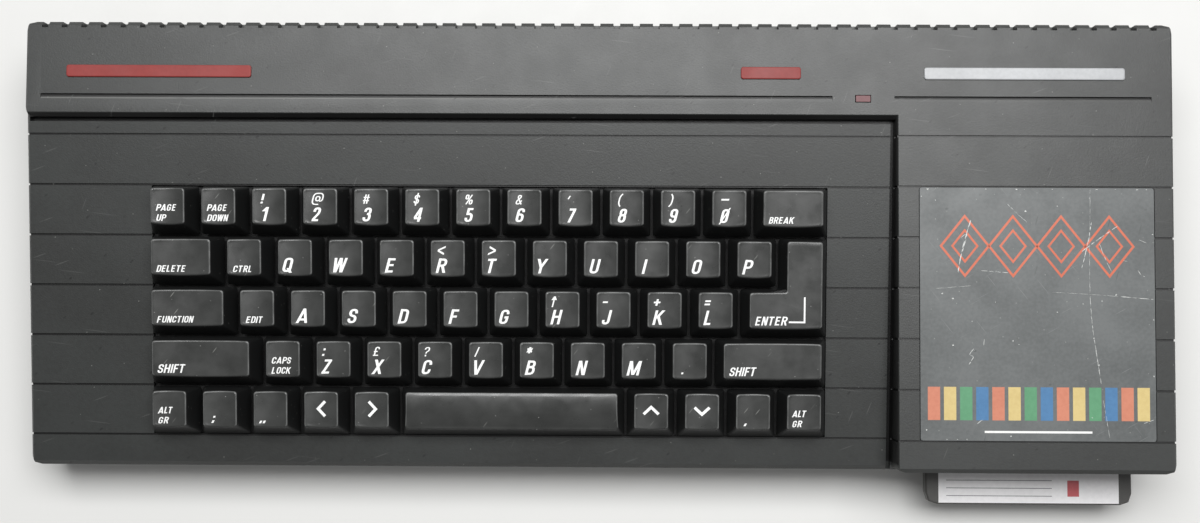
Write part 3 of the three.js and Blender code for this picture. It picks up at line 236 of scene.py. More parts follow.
# Scratches down to the label's pale base: points in mm from the label's middle, then the width in mm
LABEL_SCRATCHES = [
    ([(20.0, 47.2), (19.8, 34), (19.5, 20), (19.6, 6.8)], 0.09),
    ([(19.6, 6.8), (20.1, -2.4), (21, -9.2)], 0.17), ([(21, -9.2), (22.3, -18), (23.5, -26)], 0.24),
    ([(24.2, -32), (25, -37), (26.5, -46)], 0.11), ([(5.5, 8.2), (19.7, 7.5), (31, 6.7)], 0.08),
    ([(31, 6.7), (43.2, 5.7)], 0.2), ([(16.6, 23.4), (24, 29), (30.9, 33.6)], 0.26),
    ([(20.4, 34.6), (18.5, 24.1), (16.6, 17.2)], 0.24), ([(23.4, 26.6), (25, 21), (27.8, 16)], 0.16),
    ([(-24.7, 35.2), (-27.8, 25.4), (-29.6, 15.5)], 0.36), ([(-25.6, 33), (-26.5, 27), (-28.9, 21)], 0.2),
    ([(-26.4, 30), (-28.6, 28.5)], 0.18), ([(-11.1, 41.4), (-7, 37), (-3.1, 34)], 0.11),
    ([(-21, 16.2), (-16, 15.8), (-10.5, 15.4)], 0.15),
    ([(-23.8, -12.9), (-25.9, -15.6), (-23.6, -15.8), (-25.8, -19)], 0.2),
    ([(-19.9, -9.4), (-20.2, -11.8)], 0.22), ([(-22.8, -41), (-20.7, -39.4)], 0.24),
    ([(38, 28), (41, 26.8)], 0.12), ([(32, 20.2), (34.4, 19.8)], 0.16),
    ([(37.6, 16.6), (38.4, 14.8), (40.2, 14.1)], 0.13), ([(39, -40.6), (43, -39.2)], 0.12),
    ([(-38, 9.4), (-30, 10), (-24, 10.6)], 0.09),
]
# Specks on the label: a place and a radius, in mm
LABEL_SPECKS = [
    (-37.9, 42.6, 0.28), (-35.5, 7.5, 0.4), (-31.6, 5.7, 0.38), (-24.4, -2.8, 0.25), (-15.7, 4.4, 0.2),
    (7.4, 0.7, 0.25), (17, 3.9, 0.25), (24.1, 5, 0.3), (-4.3, 38.6, 0.42), (19.7, 43.6, 0.3),
    (7.7, 40.5, 0.25), (22.7, -18.9, 0.52), (20.9, -8.9, 0.35), (20, -38.5, 0.3), (-41.6, -43.4, 0.42),
    (-10.2, -45.6, 0.35), (-31.6, -11.8, 0.5), (-9.2, -10.1, 0.45), (-7, -11.4, 0.25), (29.3, 7.3, 0.42),
    (-40.8, 46.8, 0.5), (-38, 47, 0.35), (-23.4, 47.1, 0.3), (-19, 47, 0.42), (-7.4, 47, 0.5),
    (-4.6, 47, 0.3), (5.8, 47, 0.35), (22.4, 46.9, 0.45), (29.4, 47.1, 0.38), (37.6, 47, 0.5),
    (41, 46.8, 0.3), (-43.2, 44, 0.3), (43.1, 30, 0.28), (43.2, -2, 0.25), (43.1, -23, 0.34),
    (-34, -46.9, 0.3), (-30, -47, 0.42), (-26.6, -46.9, 0.3),
]
# The label's inks: name, darker and paler tone
INKS = [
    ("orange", "#b86f56", "#c67d63"), ("coral", "#bb573b", "#c66446"), ("yellow", "#c0a96c", "#cdb87b"),
    ("green", "#4c8660", "#58936c"), ("blue", "#3b6a95", "#4576a2"), ("white", "#dededc", "#e8e8e6"),
]


def linear(hex_colour):
    """sRGB hex to linear RGBA: c / 12.92 below 0.04045, else ((c + 0.055) / 1.055) to the power 2.4."""
    parts = [int(hex_colour[i:i + 2], 16) / 255 for i in (1, 3, 5)]
    return [c / 12.92 if c <= 0.04045 else ((c + 0.055) / 1.055) ** 2.4 for c in parts] + [1.0]


# A Mix node that mixes colours: its factor is input 0, its colours are inputs 6 and 7
COLOURS = {"output": 2, "data_type": "RGBA"}


def node(tree, kind, inputs=None, output=0, **settings):
    """Adds one node and gives one of its outputs. Settings are its properties, and inputs its sockets, by
    name or number, each a value, a hex colour or another node's output."""
    made = tree.nodes.new("ShaderNode" + kind)
    for name, value in settings.items():
        setattr(made, name, value)
    for name, value in (inputs or {}).items():
        if isinstance(value, bpy.types.NodeSocket):
            tree.links.new(value, made.inputs[name])
        else:
            made.inputs[name].default_value = linear(value) if isinstance(value, str) else value
    return made.outputs[output]


def new_material(name):
    """An empty node material and its tree."""
    material = bpy.data.materials.new(name)
    material.use_nodes = True
    material.node_tree.nodes.clear()
    return material, material.node_tree


def shaded(tree, inputs):
    """Joins a shader with these inputs to the material's output."""
    end = tree.nodes.new("ShaderNodeOutputMaterial")
    tree.links.new(node(tree, "BsdfPrincipled", inputs), end.inputs["Surface"])


def blotches(tree, low, high, size, detail=3.0):
    """A value between low and high that wanders over a surface, size mm from one blotch to the next."""
    noise = node(tree, "TexNoise", {
        "Vector": node(tree, "TexCoord", output="Object"), "Scale": 1 / (size * MM), "Detail": detail,
    })
    return node(tree, "MapRange", {
        "Value": noise, "From Min": 0.35, "From Max": 0.65, "To Min": low, "To Max": high,
    })


def grain(tree, size, height):
    """A bump of rounded pits, size mm apart and height mm deep."""
    pits = node(tree, "TexNoise", {
        "Vector": node(tree, "TexCoord", output="Object"), "Scale": 1 / (size * MM), "Detail": 2.0,
    })
    return node(tree, "Bump", {"Height": pits, "Strength": 1.0, "Distance": height * MM})


def flecks(tree, spacing, radius):
    """A share that is 1 on sparse round flecks of a radius in mm, one at most in each spacing mm."""
    distance = node(tree, "TexVoronoi", {
        "Vector": node(tree, "TexCoord", output="Object"), "Scale": 1 / (spacing * MM),
    })
    return node(tree, "MapRange", {
        "Value": distance, "From Min": radius / spacing, "From Max": 0.5 * radius / spacing,
    })


def marks(tree, spacing, length, width, turn):
    """A share near 1 on sparse marks of a length and width in mm, turned about Z, and 0 elsewhere. There is
    one in each cell of about spacing mm, of its own strength, and only where the surface looks up."""
    stretch = math.sqrt(length / width)
    place = node(tree, "Mapping", {
        "Vector": node(tree, "TexCoord", output="Object"), "Rotation": (0, 0, turn),
        "Scale": (spacing * stretch * MM, spacing / stretch * MM, MM),
    }, vector_type="TEXTURE")
    distance = node(tree, "TexVoronoi", {"Vector": place, "Scale": 1.0}, voronoi_dimensions="2D")
    reach = length / (2 * spacing * stretch)
    inside = node(tree, "MapRange", {"Value": distance, "From Min": reach, "From Max": 0.5 * reach})
    strength = node(tree, "SeparateColor", {"Color": distance.node.outputs["Color"]})
    normal = node(tree, "NewGeometry", output="Normal")
    facing = node(tree, "SeparateXYZ", {"Vector": normal}, "Z")
    share = node(tree, "Math", {0: facing, 1: 0.5}, operation="GREATER_THAN")
    for part in (inside, strength):
        share = node(tree, "Math", {0: share, 1: part}, operation="MULTIPLY")
    return share


def worn(tree, colour, wear):
    """A colour with marks over it. wear lists their (colour, spacing, length, width, turn)."""
    for tone, *shape in wear:
        colour = node(tree, "Mix", {0: marks(tree, *shape), 6: colour, 7: tone}, **COLOURS)
    return colour


def painted_groove_light(tree, colour):
    """The upper case's colour with a painted near-black shade where it lies sunk below its own top plane,
    as in grooves and channels, and a painted pale highlight along the lips that face the rear.

    The plane is z = front height + (y - front) tan(slope), of the deck or else of the band and the block.
    """
    # Depths below the plane in mm, where the painted shade or the painted highlight on the lips starts and
    # where it is full
    shade_depths, lip_depths = (0.16, 0.4), (0.015, 0.06)
    # The rounded edges of the case, which get neither painted shade nor painted highlight, in mm
    side_margin, end_margin = 0.7, 3.0
    lip_lean, lip_strength = 0.12, 0.7
    overlap = 0.1  # mm, how far the higher plane reaches over the step
    x, y, z = node(tree, "SeparateXYZ", {"Vector": node(tree, "TexCoord", output="Object")}).node.outputs
    way = node(tree, "Math", {0: y, 1: FRONT * MM}, operation="SUBTRACT")
    deck, block_top = (
        node(tree, "Math", {0: way, 1: math.tan(slope), 2: height * MM}, operation="MULTIPLY_ADD")
        for slope, height in ((DECK_SLOPE, DECK_FRONT), (BLOCK_SLOPE, BLOCK_FRONT)))
    right, rear = (
        node(tree, "Math", {0: along, 1: (edge - overlap) * MM}, operation="GREATER_THAN")
        for along, edge in ((x, BLOCK_LEFT), (y, STEP_Y)))
    high_part = node(tree, "Math", {0: right, 1: rear}, operation="MAXIMUM")
    plane = node(tree, "Mix", {0: high_part, 2: deck, 3: block_top})
    depth = node(tree, "Math", {0: plane, 1: z}, operation="SUBTRACT")
    sunk, below = (
        node(tree, "MapRange", {"Value": depth, "From Min": low * MM, "From Max": high * MM})
        for low, high in (shade_depths, lip_depths))
    # 1 where a coordinate is within a distance of the case's middle
    side, ends = (
        node(tree, "Math", {0: along, 1: middle * MM, 2: reach * MM}, operation="COMPARE")
        for along, middle, reach in ((x, 0.0, CASE_WIDTH / 2 - side_margin),
                                     (y, MIDDLE_Y, CASE_DEPTH / 2 - end_margin)))
    normal = node(tree, "NewGeometry", output="Normal")
    facing = node(tree, "SeparateXYZ", {"Vector": normal}, "Y")
    lip_highlight = node(tree, "Math", {0: facing, 1: lip_lean}, operation="GREATER_THAN")
    for part in (below, side, ends, lip_strength):
        lip_highlight = node(tree, "Math", {0: lip_highlight, 1: part}, operation="MULTIPLY")
    painted_shade = sunk
    for part in (side, ends):
        painted_shade = node(tree, "Math", {0: painted_shade, 1: part}, operation="MULTIPLY")
    # Painted highlight: a pale tone on the lips that face the rear; painted shade: near-black in grooves
    # and channels
    colour = node(tree, "Mix", {0: lip_highlight, 6: colour, 7: "#6c6d6a"}, **COLOURS)
    return node(tree, "Mix", {0: painted_shade, 6: colour, 7: "#0a0a0a"}, **COLOURS)


def plastic(name, dark, light, rough, grain_size, grain_height, wear=(), painted_light=None):
    """A moulded plastic: two near colours in wide and in fine blotches, and a grain from the mould, with
    marks of wear, and with painted light and shade where a function of the colour is given for it."""
    material, tree = new_material(name)
    wide, fine = blotches(tree, 0.0, 0.75, 45.0, 5.0), blotches(tree, 0.0, 0.45, 1.5, 2.0)
    share = node(tree, "Math", {0: wide, 1: fine}, operation="ADD")
    colour = node(tree, "Mix", {0: share, 6: dark, 7: light}, **COLOURS)
    if painted_light:
        colour = painted_light(tree, colour)
    shaded(tree, {
        "Base Color": worn(tree, colour, wear), "Roughness": blotches(tree, *rough, 14.0, 5.0),
        "Normal": grain(tree, grain_size, grain_height), "IOR": 1.5,
    })
    return material


def metal(name, dark, light, rough, streak, height=0.01):
    """A bare metal with streaks along one axis; streak is the pattern's size in mm along X, Y and Z."""
    material, tree = new_material(name)
    place = node(tree, "Mapping", {
        "Vector": node(tree, "TexCoord", output="Object"), "Scale": [1 / (size * MM) for size in streak],
    })
    noise = node(tree, "TexNoise", {"Vector": place, "Scale": 1.0, "Detail": 4.0})
    shaded(tree, {
        "Base Color": node(tree, "Mix", {0: noise, 6: dark, 7: light}, **COLOURS),
        "Roughness": node(tree, "MapRange", {"Value": noise, "To Min": rough[0], "To Max": rough[1]}),
        "Normal": node(tree, "Bump", {"Height": noise, "Strength": 1.0, "Distance": height * MM}),
        "Metallic": 1.0,
    })
    return material


def cap_plastic(settings):
    """Key ABS: near-black on the skirts as painted shade, and paler on the tops, where the attribute top is
    1, as painted sheen; the tops are also smoother from fingers. The attribute edge is 1 along a top's rim,
    which gets a painted highlight."""
    material, tree = new_material("key ABS, painted sheen on tops")
    top, rim = (node(tree, "Attribute", output="Fac", attribute_name=name) for name in ("top", "edge"))
    # Painted sheen: the tops' paler tones over the skirts' near-black, on one plastic
    tops = blotches(tree, 0.0, 1.0, 9.0, 4.0)
    sheen_tone = node(tree, "Mix", {0: tops, 6: settings.top_dark, 7: settings.top_light}, **COLOURS)
    colour = node(tree, "Mix", {0: top, 6: settings.skirt_colour, 7: sheen_tone}, **COLOURS)
    # Painted highlight along each top's rim, in blotches
    rubbed = node(tree, "Math", {0: rim, 1: blotches(tree, 0.45, 1.0, 5.0)}, operation="MULTIPLY")
    colour = node(tree, "Mix", {0: rubbed, 6: colour, 7: settings.edge_highlight}, **COLOURS)
    # Dust on the skirts, and pale nicks and smudges on the tops
    skirt = node(tree, "Math", {0: 1.0, 1: top}, operation="SUBTRACT")
    dust = node(tree, "Math", {0: flecks(tree, 2.6, 0.22), 1: skirt}, operation="MULTIPLY")
    colour = node(tree, "Mix", {0: dust, 6: colour, 7: "#6c6c69"}, **COLOURS)
    colour = worn(tree, colour, (("#8c8c8a", 11.0, 0.5, 0.4, 0.3), ("#727370", 19.0, 3.2, 0.4, 0.9)))
    shaded(tree, {
        "Base Color": colour,
        "Roughness": node(tree, "Mix", {0: top, 2: 0.5, 3: blotches(tree, 0.26, 0.4, 7.0, 3.0)}),
        "Normal": grain(tree, 0.45, 0.006),
        "IOR": 1.6,
    })
    return material


def scratched_print(name, dark, light, rough):
    """A printed vinyl plate, rubbed pale in blotches, with faint scuffs and small chips."""
    material, tree = new_material(name)
    wide, fine = blotches(tree, 0.0, 0.8, 22.0, 6.0), blotches(tree, 0.0, 0.4, 1.3, 3.0)
    share = node(tree, "Math", {0: wide, 1: fine}, operation="ADD")
    colour = node(tree, "Mix", {0: share, 6: dark, 7: light}, **COLOURS)
    wear = (("#727575", 17.0, 6.0, 0.25, 0.5), ("#717474", 19.0, 8.0, 0.22, -0.9),
            ("#4b4e4e", 24.0, 5.0, 0.6, 1.3), ("#4b4e4e", 23.0, 1.5, 1.1, 0.2),
            ("#8f928f", 9.0, 0.4, 0.5, 0.0))
    shaded(tree, {
        "Base Color": worn(tree, colour, wear), "Roughness": blotches(tree, *rough, 9.0, 4.0),
        "Normal": grain(tree, 0.5, 0.01),
    })
    return material


def stepped(name, low, high, edge, rough):
    """One colour up to a height in mm, and another above it."""
    blur = 0.05
    material, tree = new_material(name)
    place = node(tree, "TexCoord", output="Object")
    share = node(tree, "MapRange", {
        "Value": node(tree, "SeparateXYZ", {"Vector": place}, "Z"),
        "From Min": (edge - blur) * MM, "From Max": (edge + blur) * MM,
    })
    shaded(tree, {
        "Base Color": node(tree, "Mix", {0: share, 6: low, 7: high}, **COLOURS),
        "Roughness": blotches(tree, *rough, 8.0), "Normal": grain(tree, 0.8, 0.02),
    })
    return material


def mesh_piece(name, vertices, faces, material, body, smooth, shares=None):
    """A finished piece from points in millimetres and a list of arrays of faces: placed in its mesh,
    dressed, and riding on a body. Shares are values for each point, by their attribute's name."""
    mesh = bpy.data.meshes.new(name)
    mesh.from_pydata((vertices * MM).tolist(), [], [face for part in faces for face in part.tolist()])
    for key, values in (shares or {}).items():
        layer = mesh.attributes.new(key, "FLOAT", "POINT")
        layer.data.foreach_set("value", np.asarray(values, np.float32))
    return finish_piece(name, mesh, material, body, smooth)


def finish_piece(name, mesh, material, body, smooth):
    """Links a mesh as a piece, with soft shading below an angle, and says what it rides on."""
    mesh.validate()
    mesh.shade_smooth()
    mesh.set_sharp_from_angle(angle=math.radians(smooth))
    mesh.materials.append(material)
    piece = bpy.data.objects.new(name, mesh)
    bpy.context.scene.collection.objects.link(piece)
    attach(piece, body)
    return piece


def circle(sides):
    """Points of the unit circle, anticlockwise from +X."""
    turn = np.linspace(0, 2 * math.pi, sides, endpoint=False)
    return np.stack([np.cos(turn), np.sin(turn)], -1)


def outline(corners, radius):
    """A closed outline of right-angled corners, each a quarter circle, with points along its sides too.

    With a and b the directions from a corner C towards its neighbours, a point of its arc is
    C + r (a + b) - r (b cos t + a sin t), for t from 0 to a right angle.
    """
    arc_points, side_points = 6, 7
    corners = np.asarray(corners, float)
    back = np.roll(corners, 1, axis=0) - corners
    ahead = np.roll(corners, -1, axis=0) - corners
    back /= np.linalg.norm(back, axis=1, keepdims=True)
    ahead /= np.linalg.norm(ahead, axis=1, keepdims=True)
    turn = np.linspace(0, math.pi / 2, arc_points)[None, :, None]
    a, b = back[:, None, :], ahead[:, None, :]
    arcs = corners[:, None, :] + radius * (a + b - b * np.cos(turn) - a * np.sin(turn))
    share = np.linspace(0, 1, side_points + 2)[1:-1][None, :, None]
    ends = np.roll(arcs[:, :1], -1, axis=0)
    sides = arcs[:, -1:] + share * (ends - arcs[:, -1:])
    return np.concatenate([arcs, sides], axis=1).reshape(-1, 2)


def skin(rings, joined=False):
    """Points and faces over rings of points, each ring anticlockwise seen from where the surface heads:
    quads between one ring and the next, and a fan over a middle point at each end, or the last ring joined
    to the first."""
    rings = np.asarray(rings, float)
    count, around = rings.shape[:2]
    here = np.arange(around)
    after = (here + 1) % around
    rows = (np.arange(count if joined else count - 1) * around)[:, None]
    ahead = (rows + around) % (count * around)
    quads = np.stack([rows + here, rows + after, ahead + after, ahead + here], axis=-1).reshape(-1, 4)
    if joined:
        return rings.reshape(-1, 3), [quads]
    points = np.concatenate([rings.reshape(-1, 3), rings[[0, -1]].mean(axis=1)])
    low, high = count * around, count * around + 1
    last = (count - 1) * around
    start = np.stack([np.full(around, low), after, here], axis=-1)
    end = np.stack([last + here, last + after, np.full(around, high)], axis=-1)
    return points, [quads, start, end]


def raised(flat, height):
    """An outline lifted to a height, or to one height for each point."""
    return np.column_stack([flat, np.broadcast_to(height, (len(flat),))])


def merged(shells):
    """Several closed shells, each its points and its arrays of faces, as one."""
    points, faces, start = [], [], 0
    for shell_points, shell_faces in shells:
        points.append(shell_points)
        faces += [part + start for part in shell_faces]
        start += len(shell_points)
    return np.concatenate(points), faces


def masked_slab(xs, ys, filled, low, high):
    """A slab over the cells of a grid where filled is true: tops, undersides, and a wall wherever a filled
    cell meets an empty one."""
    xs, ys = np.asarray(xs, float), np.asarray(ys, float)
    filled = np.asarray(filled, bool)
    columns, rows = len(xs), len(ys)
    grid = np.stack(np.meshgrid(xs, ys, indexing="ij"), axis=-1).reshape(-1, 2)
    points = np.concatenate([raised(grid, low), raised(grid, high)])
    up = columns * rows

    def at(i, j):
        return i * rows + j

    i, j = np.nonzero(filled)
    a, b, c, d = at(i, j), at(i + 1, j), at(i + 1, j + 1), at(i, j + 1)
    faces = [np.stack([a + up, b + up, c + up, d + up], -1), np.stack([d, c, b, a], -1)]
    padded = np.pad(filled, 1)
    # The step to a neighbour, and the two corners of a cell that the wall towards it joins
    for (dx, dy), first, second in (((1, 0), (1, 0), (1, 1)), ((-1, 0), (0, 1), (0, 0)),
                                    ((0, 1), (1, 1), (0, 1)), ((0, -1), (0, 0), (1, 0))):
        beside = padded[1 + dx:padded.shape[0] - 1 + dx, 1 + dy:padded.shape[1] - 1 + dy]
        i, j = np.nonzero(filled & ~beside)
        p, q = at(i + first[0], j + first[1]), at(i + second[0], j + second[1])
        faces.append(np.stack([p, q, q + up, p + up], -1))
    faces = np.concatenate(faces)
    used = np.unique(faces)
    place = np.zeros(len(points), int)
    place[used] = np.arange(len(used))
    return points[used], [place[faces]]


def block(x0, x1, y0, y1, z0, z1):
    """A plain closed block."""
    return masked_slab([x0, x1], [y0, y1], [[True]], z0, z1)


def flat_frame(outer, inner):
    """A flat frame from z 0 to 1 between two outlines with as many corners."""
    return skin([raised(outer, 0), raised(outer, 1), raised(inner, 1), raised(inner, 0)], True)


def revolved(profile, sides, centre=(0, 0)):
    """A profile of (radius, height) pairs turned about an upright line; each end closes to a fan."""
    return skin([raised(circle(sides) * radius + centre, height) for radius, height in profile])


def tilted(points, slope, middle, front_height):
    """From a sloping top's own frame to the part's: a turn about X by the slope, then a shift that puts the
    origin on the top, level with the middle of the key rows."""
    x, y, z = np.asarray(points, float).T
    cos, sin = math.cos(slope), math.sin(slope)
    height = front_height + (WELL_Y - FRONT) * math.tan(slope)
    return np.column_stack([x + middle, y * cos - z * sin + WELL_Y, y * sin + z * cos + height])


def on_keyboard(points):
    """From the keyboard's own frame, whose plane is the top of the deck, to the part's."""
    return tilted(points, DECK_SLOPE, WELL_X, DECK_FRONT)


def on_label(points):
    """From the label's own frame, whose plane is the top of the block, to the part's."""
    low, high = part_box("label_plate")
    return tilted(points, BLOCK_SLOPE, (low[0] + high[0]) / 2 / MM, BLOCK_FRONT)


class Cap:
    """The place and the surface of one key cap, in the keyboard's own frame."""

    def __init__(self, name, units, x, y):
        half = (units * KEY_PITCH - SPACING) / 2
        deep = (KEY_PITCH - SPACING) / 2
        self.name = name
        self.middle = x
        self.left, self.right = x - half, x + half
        self.front, self.back = y - deep, y + deep
        base = [(self.left, self.front), (self.right, self.front)]
        lean = [(LEAN_SIDE, LEAN_FRONT), (-LEAN_SIDE, LEAN_FRONT)]
        inwards = [(1, 1), (-1, 1), (-1, -1), (1, -1)]
        self.plungers = [(x, y)]
        self.hub = (x, y + (LEAN_FRONT - LEAN_REAR) / 2)
        if name == "enter":
            column = self.right - KEY_PITCH + SPACING
            far = self.back + KEY_PITCH
            base += [(self.right, far), (column, far), (column, self.back), (self.left, self.back)]
            lean += [(-LEAN_SIDE, -LEAN_REAR)] + 3 * [(LEAN_SIDE, -LEAN_REAR)]
            inwards += [(1, -1), (1, -1)]
            middle = (column + self.right) / 2
            self.plungers = [(middle, y), (middle, y + KEY_PITCH)]
            self.hub = (middle, y + (LEAN_FRONT - LEAN_REAR) / 2)
        else:
            base += [(self.right, self.back), (self.left, self.back)]
            lean += [(-LEAN_SIDE, -LEAN_REAR), (LEAN_SIDE, -LEAN_REAR)]
        if name == "space":
            self.plungers = [(x + share * units * KEY_PITCH, y) for share in SPACE_GUIDES]
        self.base, self.lean, self.inwards = (np.array(a, float) for a in (base, lean, inwards))

    def drop(self, flat, settings):
        """How far the top lies below its highest plane: a trough along Y, depth (1 - (x / half)^2), or on
        the space bar a crown that falls with the square of the way from a line near its rear."""
        if self.name == "space":
            way = (self.back - LEAN_REAR - flat[:, 1]) / (KEY_PITCH - SPACING - LEAN_FRONT - LEAN_REAR)
            return settings.crown / MM * (way - CROWN_LINE) ** 2
        half = (self.right - self.left) / 2 - LEAN_SIDE - TROUGH_EDGE
        return settings.dish / MM * np.clip(1 - ((flat[:, 0] - self.middle) / half) ** 2, 0, 1)

    def at(self, climb, inset):
        """The outline at a share of the way from skirt to top, moved in by an inset."""
        foot = outline(self.base + inset * self.inwards, CAP_RADIUS)
        head = outline(self.base + self.lean + inset * self.inwards, CAP_RADIUS)
        return foot + np.asarray(climb)[..., None] * (head - foot)

    def shell(self, settings):
        """The cap as one closed skin: from the hollow's ceiling down inside, round the foot, up the skirt,
        over a small fillet and in over the top. Returns points, faces, and how much each point is top and
        how much it takes the painted edge highlight."""
        fillet = settings.fillet / MM
        highlight_from = self.front + LEAN_FRONT + 0.4  # the front rim gets no painted highlight
        edge = self.at(np.ones(1), 0.0)
        rim = TOP - self.drop(edge, settings)
        rings, tops, edges = [], [], []

        def climb(height):
            return (height - SKIRT) / (TOP - SKIRT)

        def add(flat, height, top, edge=0.0):
            rings.append(raised(flat, height))
            tops.append(np.full(len(flat), float(top)))
            edges.append(edge * (flat[:, 1] > highlight_from))

        # The hollow's wall and the foot
        for height in (CEILING, SKIRT):
            add(self.at(np.full(1, climb(height)), SKIN), height, 0)
        add(self.at(np.zeros(1), FOOT_INSET), SKIRT, 0)
        # The skirt
        for share in (0.0, 0.25, 0.5, 0.75, 1.0):
            height = (SKIRT + FOOT_INSET) * (1 - share) + (rim - fillet) * share
            add(self.at(climb(height), 0.0), height, 0)
        # The fillet, with its painted highlight strongest at its middle
        for turn in np.linspace(0, math.pi / 2, 5)[1:]:
            height = rim - fillet * (1 - math.sin(turn))
            flat = self.at(climb(height), fillet * (1 - math.cos(turn)))
            add(flat, height, turn / (math.pi / 2), math.sin(2 * turn))
        # The top, in towards its middle
        for share in (0.95, 0.85, 0.7, 0.5, 0.28, 0.1):
            inner = np.array(self.hub) + share * (flat - self.hub)
            add(inner, TOP - self.drop(inner, settings), 1)
        points, faces = skin(rings)
        return points, faces, np.concatenate(tops + [[0.0, 1.0]]), np.concatenate(edges + [[0.0, 0.0]])


def caps():
    """Every key's cap with what is printed on it, row by row from the rear."""
    for index, row in enumerate(ROWS):
        left = -WELL_WIDTH / 2
        for name, units, legend in row:
            y = WELL_DEPTH / 2 - (index + 0.5) * KEY_PITCH
            yield Cap(name, units, left + units * KEY_PITCH / 2, y), legend
            left += units * KEY_PITCH


def bends(points, radius):
    """A line with its bends rounded. A bend C between P and Q, which lie a radius away on its two sides,
    becomes the curve (1 - t)^2 P + 2 t (1 - t) C + t^2 Q."""
    points = np.asarray(points, float)
    along = np.diff(points, axis=0)
    length = np.linalg.norm(along, axis=1)
    limit = 0.5 * length
    limit[[0, -1]] = 0.9 * length[[0, -1]]
    reach = np.minimum(radius, np.minimum(limit[:-1], limit[1:]))[:, None, None]
    along = (along / length[:, None])[:, None]
    t = np.linspace(0, 1, 6)[None, :, None]
    corner = points[1:-1, None]
    start, end = corner - reach * along[:-1], corner + reach * along[1:]
    curve = (1 - t) ** 2 * start + 2 * t * (1 - t) * corner + t ** 2 * end
    line = np.concatenate([points[:1], curve.reshape(-1, 2), points[-1:]])
    return line[np.append(True, np.linalg.norm(np.diff(line, axis=0), axis=1) > 1e-6)]


def ribbon(points, width):
    """A closed slab along a line, from z 0 to 1. Each point moves sideways by half the width over the
    cosine of half the bend, and the ends of a straight bar are cut level or upright, whichever is squarer.
    The width is one number, one for each point, or a pair for upright and for level strokes."""
    points = np.asarray(points, float)
    joined = len(points) > 2 and np.allclose(points[0], points[-1])
    along = np.diff(points, axis=0)
    along /= np.linalg.norm(along, axis=1, keepdims=True)
    sides = np.stack([-along[:, 1], along[:, 0]], -1)
    first, last = (sides[-1:], sides[:1]) if joined else (sides[:1], sides[-1:])
    before, after = np.vstack([first, sides]), np.vstack([sides, last])
    shift = (before + after) / (1 + (before * after).sum(axis=1, keepdims=True)) / 2
    if len(points) == 2:
        x, y = along[0]
        shift = np.tile((-0.5 / y, 0) if abs(y) > abs(x) else (0, 0.5 / x), (5, 1))
        points = points[0] + np.linspace(0, 1, 5)[:, None] * (points[1] - points[0])
    shift = shift * np.reshape(width, (-1, 1) if np.ndim(width) == 1 and len(width) != 2 else (1, -1))
    left, right = points + shift, points - shift
    rings = np.stack([raised(left, 0), raised(left, 1), raised(right, 1), raised(right, 0)], axis=1)
    return skin(rings[:-1] if joined else rings, joined)


def letters(text, height, weight):
    """A word in a narrow, heavy, leaning type, from the table of strokes. Its left edge and its baseline
    lie on the axes. Each stroke of a letter is a little lower than the one before, so that their tops don't
    share a plane where they cross."""
    shells, start = [], 0.0
    for before, letter in zip(" " + text, text):
        start -= CLOSER.get(before + letter, 0)
        strokes = [[[float(n) for n in point.split(",")] for point in part.split()]
                   for part in GLYPHS[letter].split(";")]
        fine = letter in FINE_SIGNS
        thick = 100 * weight * (FINE_WEIGHT if fine else 1.0)
        for index, points in enumerate(strokes):
            line = points if len(points) == 2 else bends(points, 40 if fine else 21)
            wide = thick * THIN_STROKES.get((letter, index), 1.0)
            shape, faces = ribbon(line, (wide, LEVEL_WEIGHT * wide))
            shape[:, 0] += start + LEAN * shape[:, 1]
            shape[:, 2] *= 1 - 0.02 * index
            shells.append((shape * (height / 100, height / 100, 1), faces))
        start += max(x for points in strokes for x, _ in points) + 100 * weight + LETTER_GAP
    return merged(shells)


def chevron(direction, reach, rise, width):
    """An open arrowhead about the middle of a key, pointing left, right, up or down."""
    flat = np.array([(rise / 2, reach / 2), (-rise / 2, 0), (rise / 2, -reach / 2)])
    turn = {"left": 0, "down": math.pi / 2, "right": math.pi, "up": -math.pi / 2}[direction]
    spin = np.array([[math.cos(turn), -math.sin(turn)], [math.sin(turn), math.cos(turn)]])
    return ribbon(flat @ spin.T, width)


def legend_shells(cap, legend, settings):
    """The shells of what is printed on one key, flat, from z 0 to 1, in the keyboard's frame. Places are
    measured from the left and front edges of the key's top."""
    left = cap.left + LEAN_SIDE
    front = cap.front + LEAN_FRONT
    word = settings.word_height / MM
    letter = settings.letter_height / MM
    shells = []

    def put(shape, x, y):
        points, faces = shape
        shells.append((points + (x, y, 0), faces))

    def written(kind, part, right=0.0, up=0.0):
        x, y, share, weight = PRINTING[kind]
        size = share * (word if "word" in kind else letter)
        put(letters(part, size, weight * settings.stroke), left + x + right, front + y + up)

    if legend.startswith("<") and len(legend) > 1:
        put(chevron(legend[1:], *ARROWHEAD), cap.middle, cap.hub[1] + 0.2)
    elif legend.startswith("~"):
        written("large word", legend[1:])
        if cap.name == "enter":
            # The enter sign: a foot from the end of the word and a bar upwards
            foot, upright, weight = 5.8, 9.4, 0.6
            corner = np.array((left + 20.4, front + 2.2))
            put(ribbon([corner - (foot, 0), corner, corner + (0, upright)], weight), 0, 0)
    elif "|" in legend:
        for index, part in enumerate(reversed(legend.split("|"))):
            if part:
                written("word", part, up=index * settings.line_height / MM)
    elif legend in (".", ",", ";", ",,"):
        written("stop" if len(legend) == 1 else "two stops", legend)
    elif legend:
        low, _, high = legend.partition("^")
        kind = "digit" if low in "123456789Ø" else "letter"
        written(kind, low, NUDGES.get(low, 0.0))
        if high:
            x, y, share, _ = PRINTING[kind]
            written("sign", high, x, y + share * letter)
    return shells


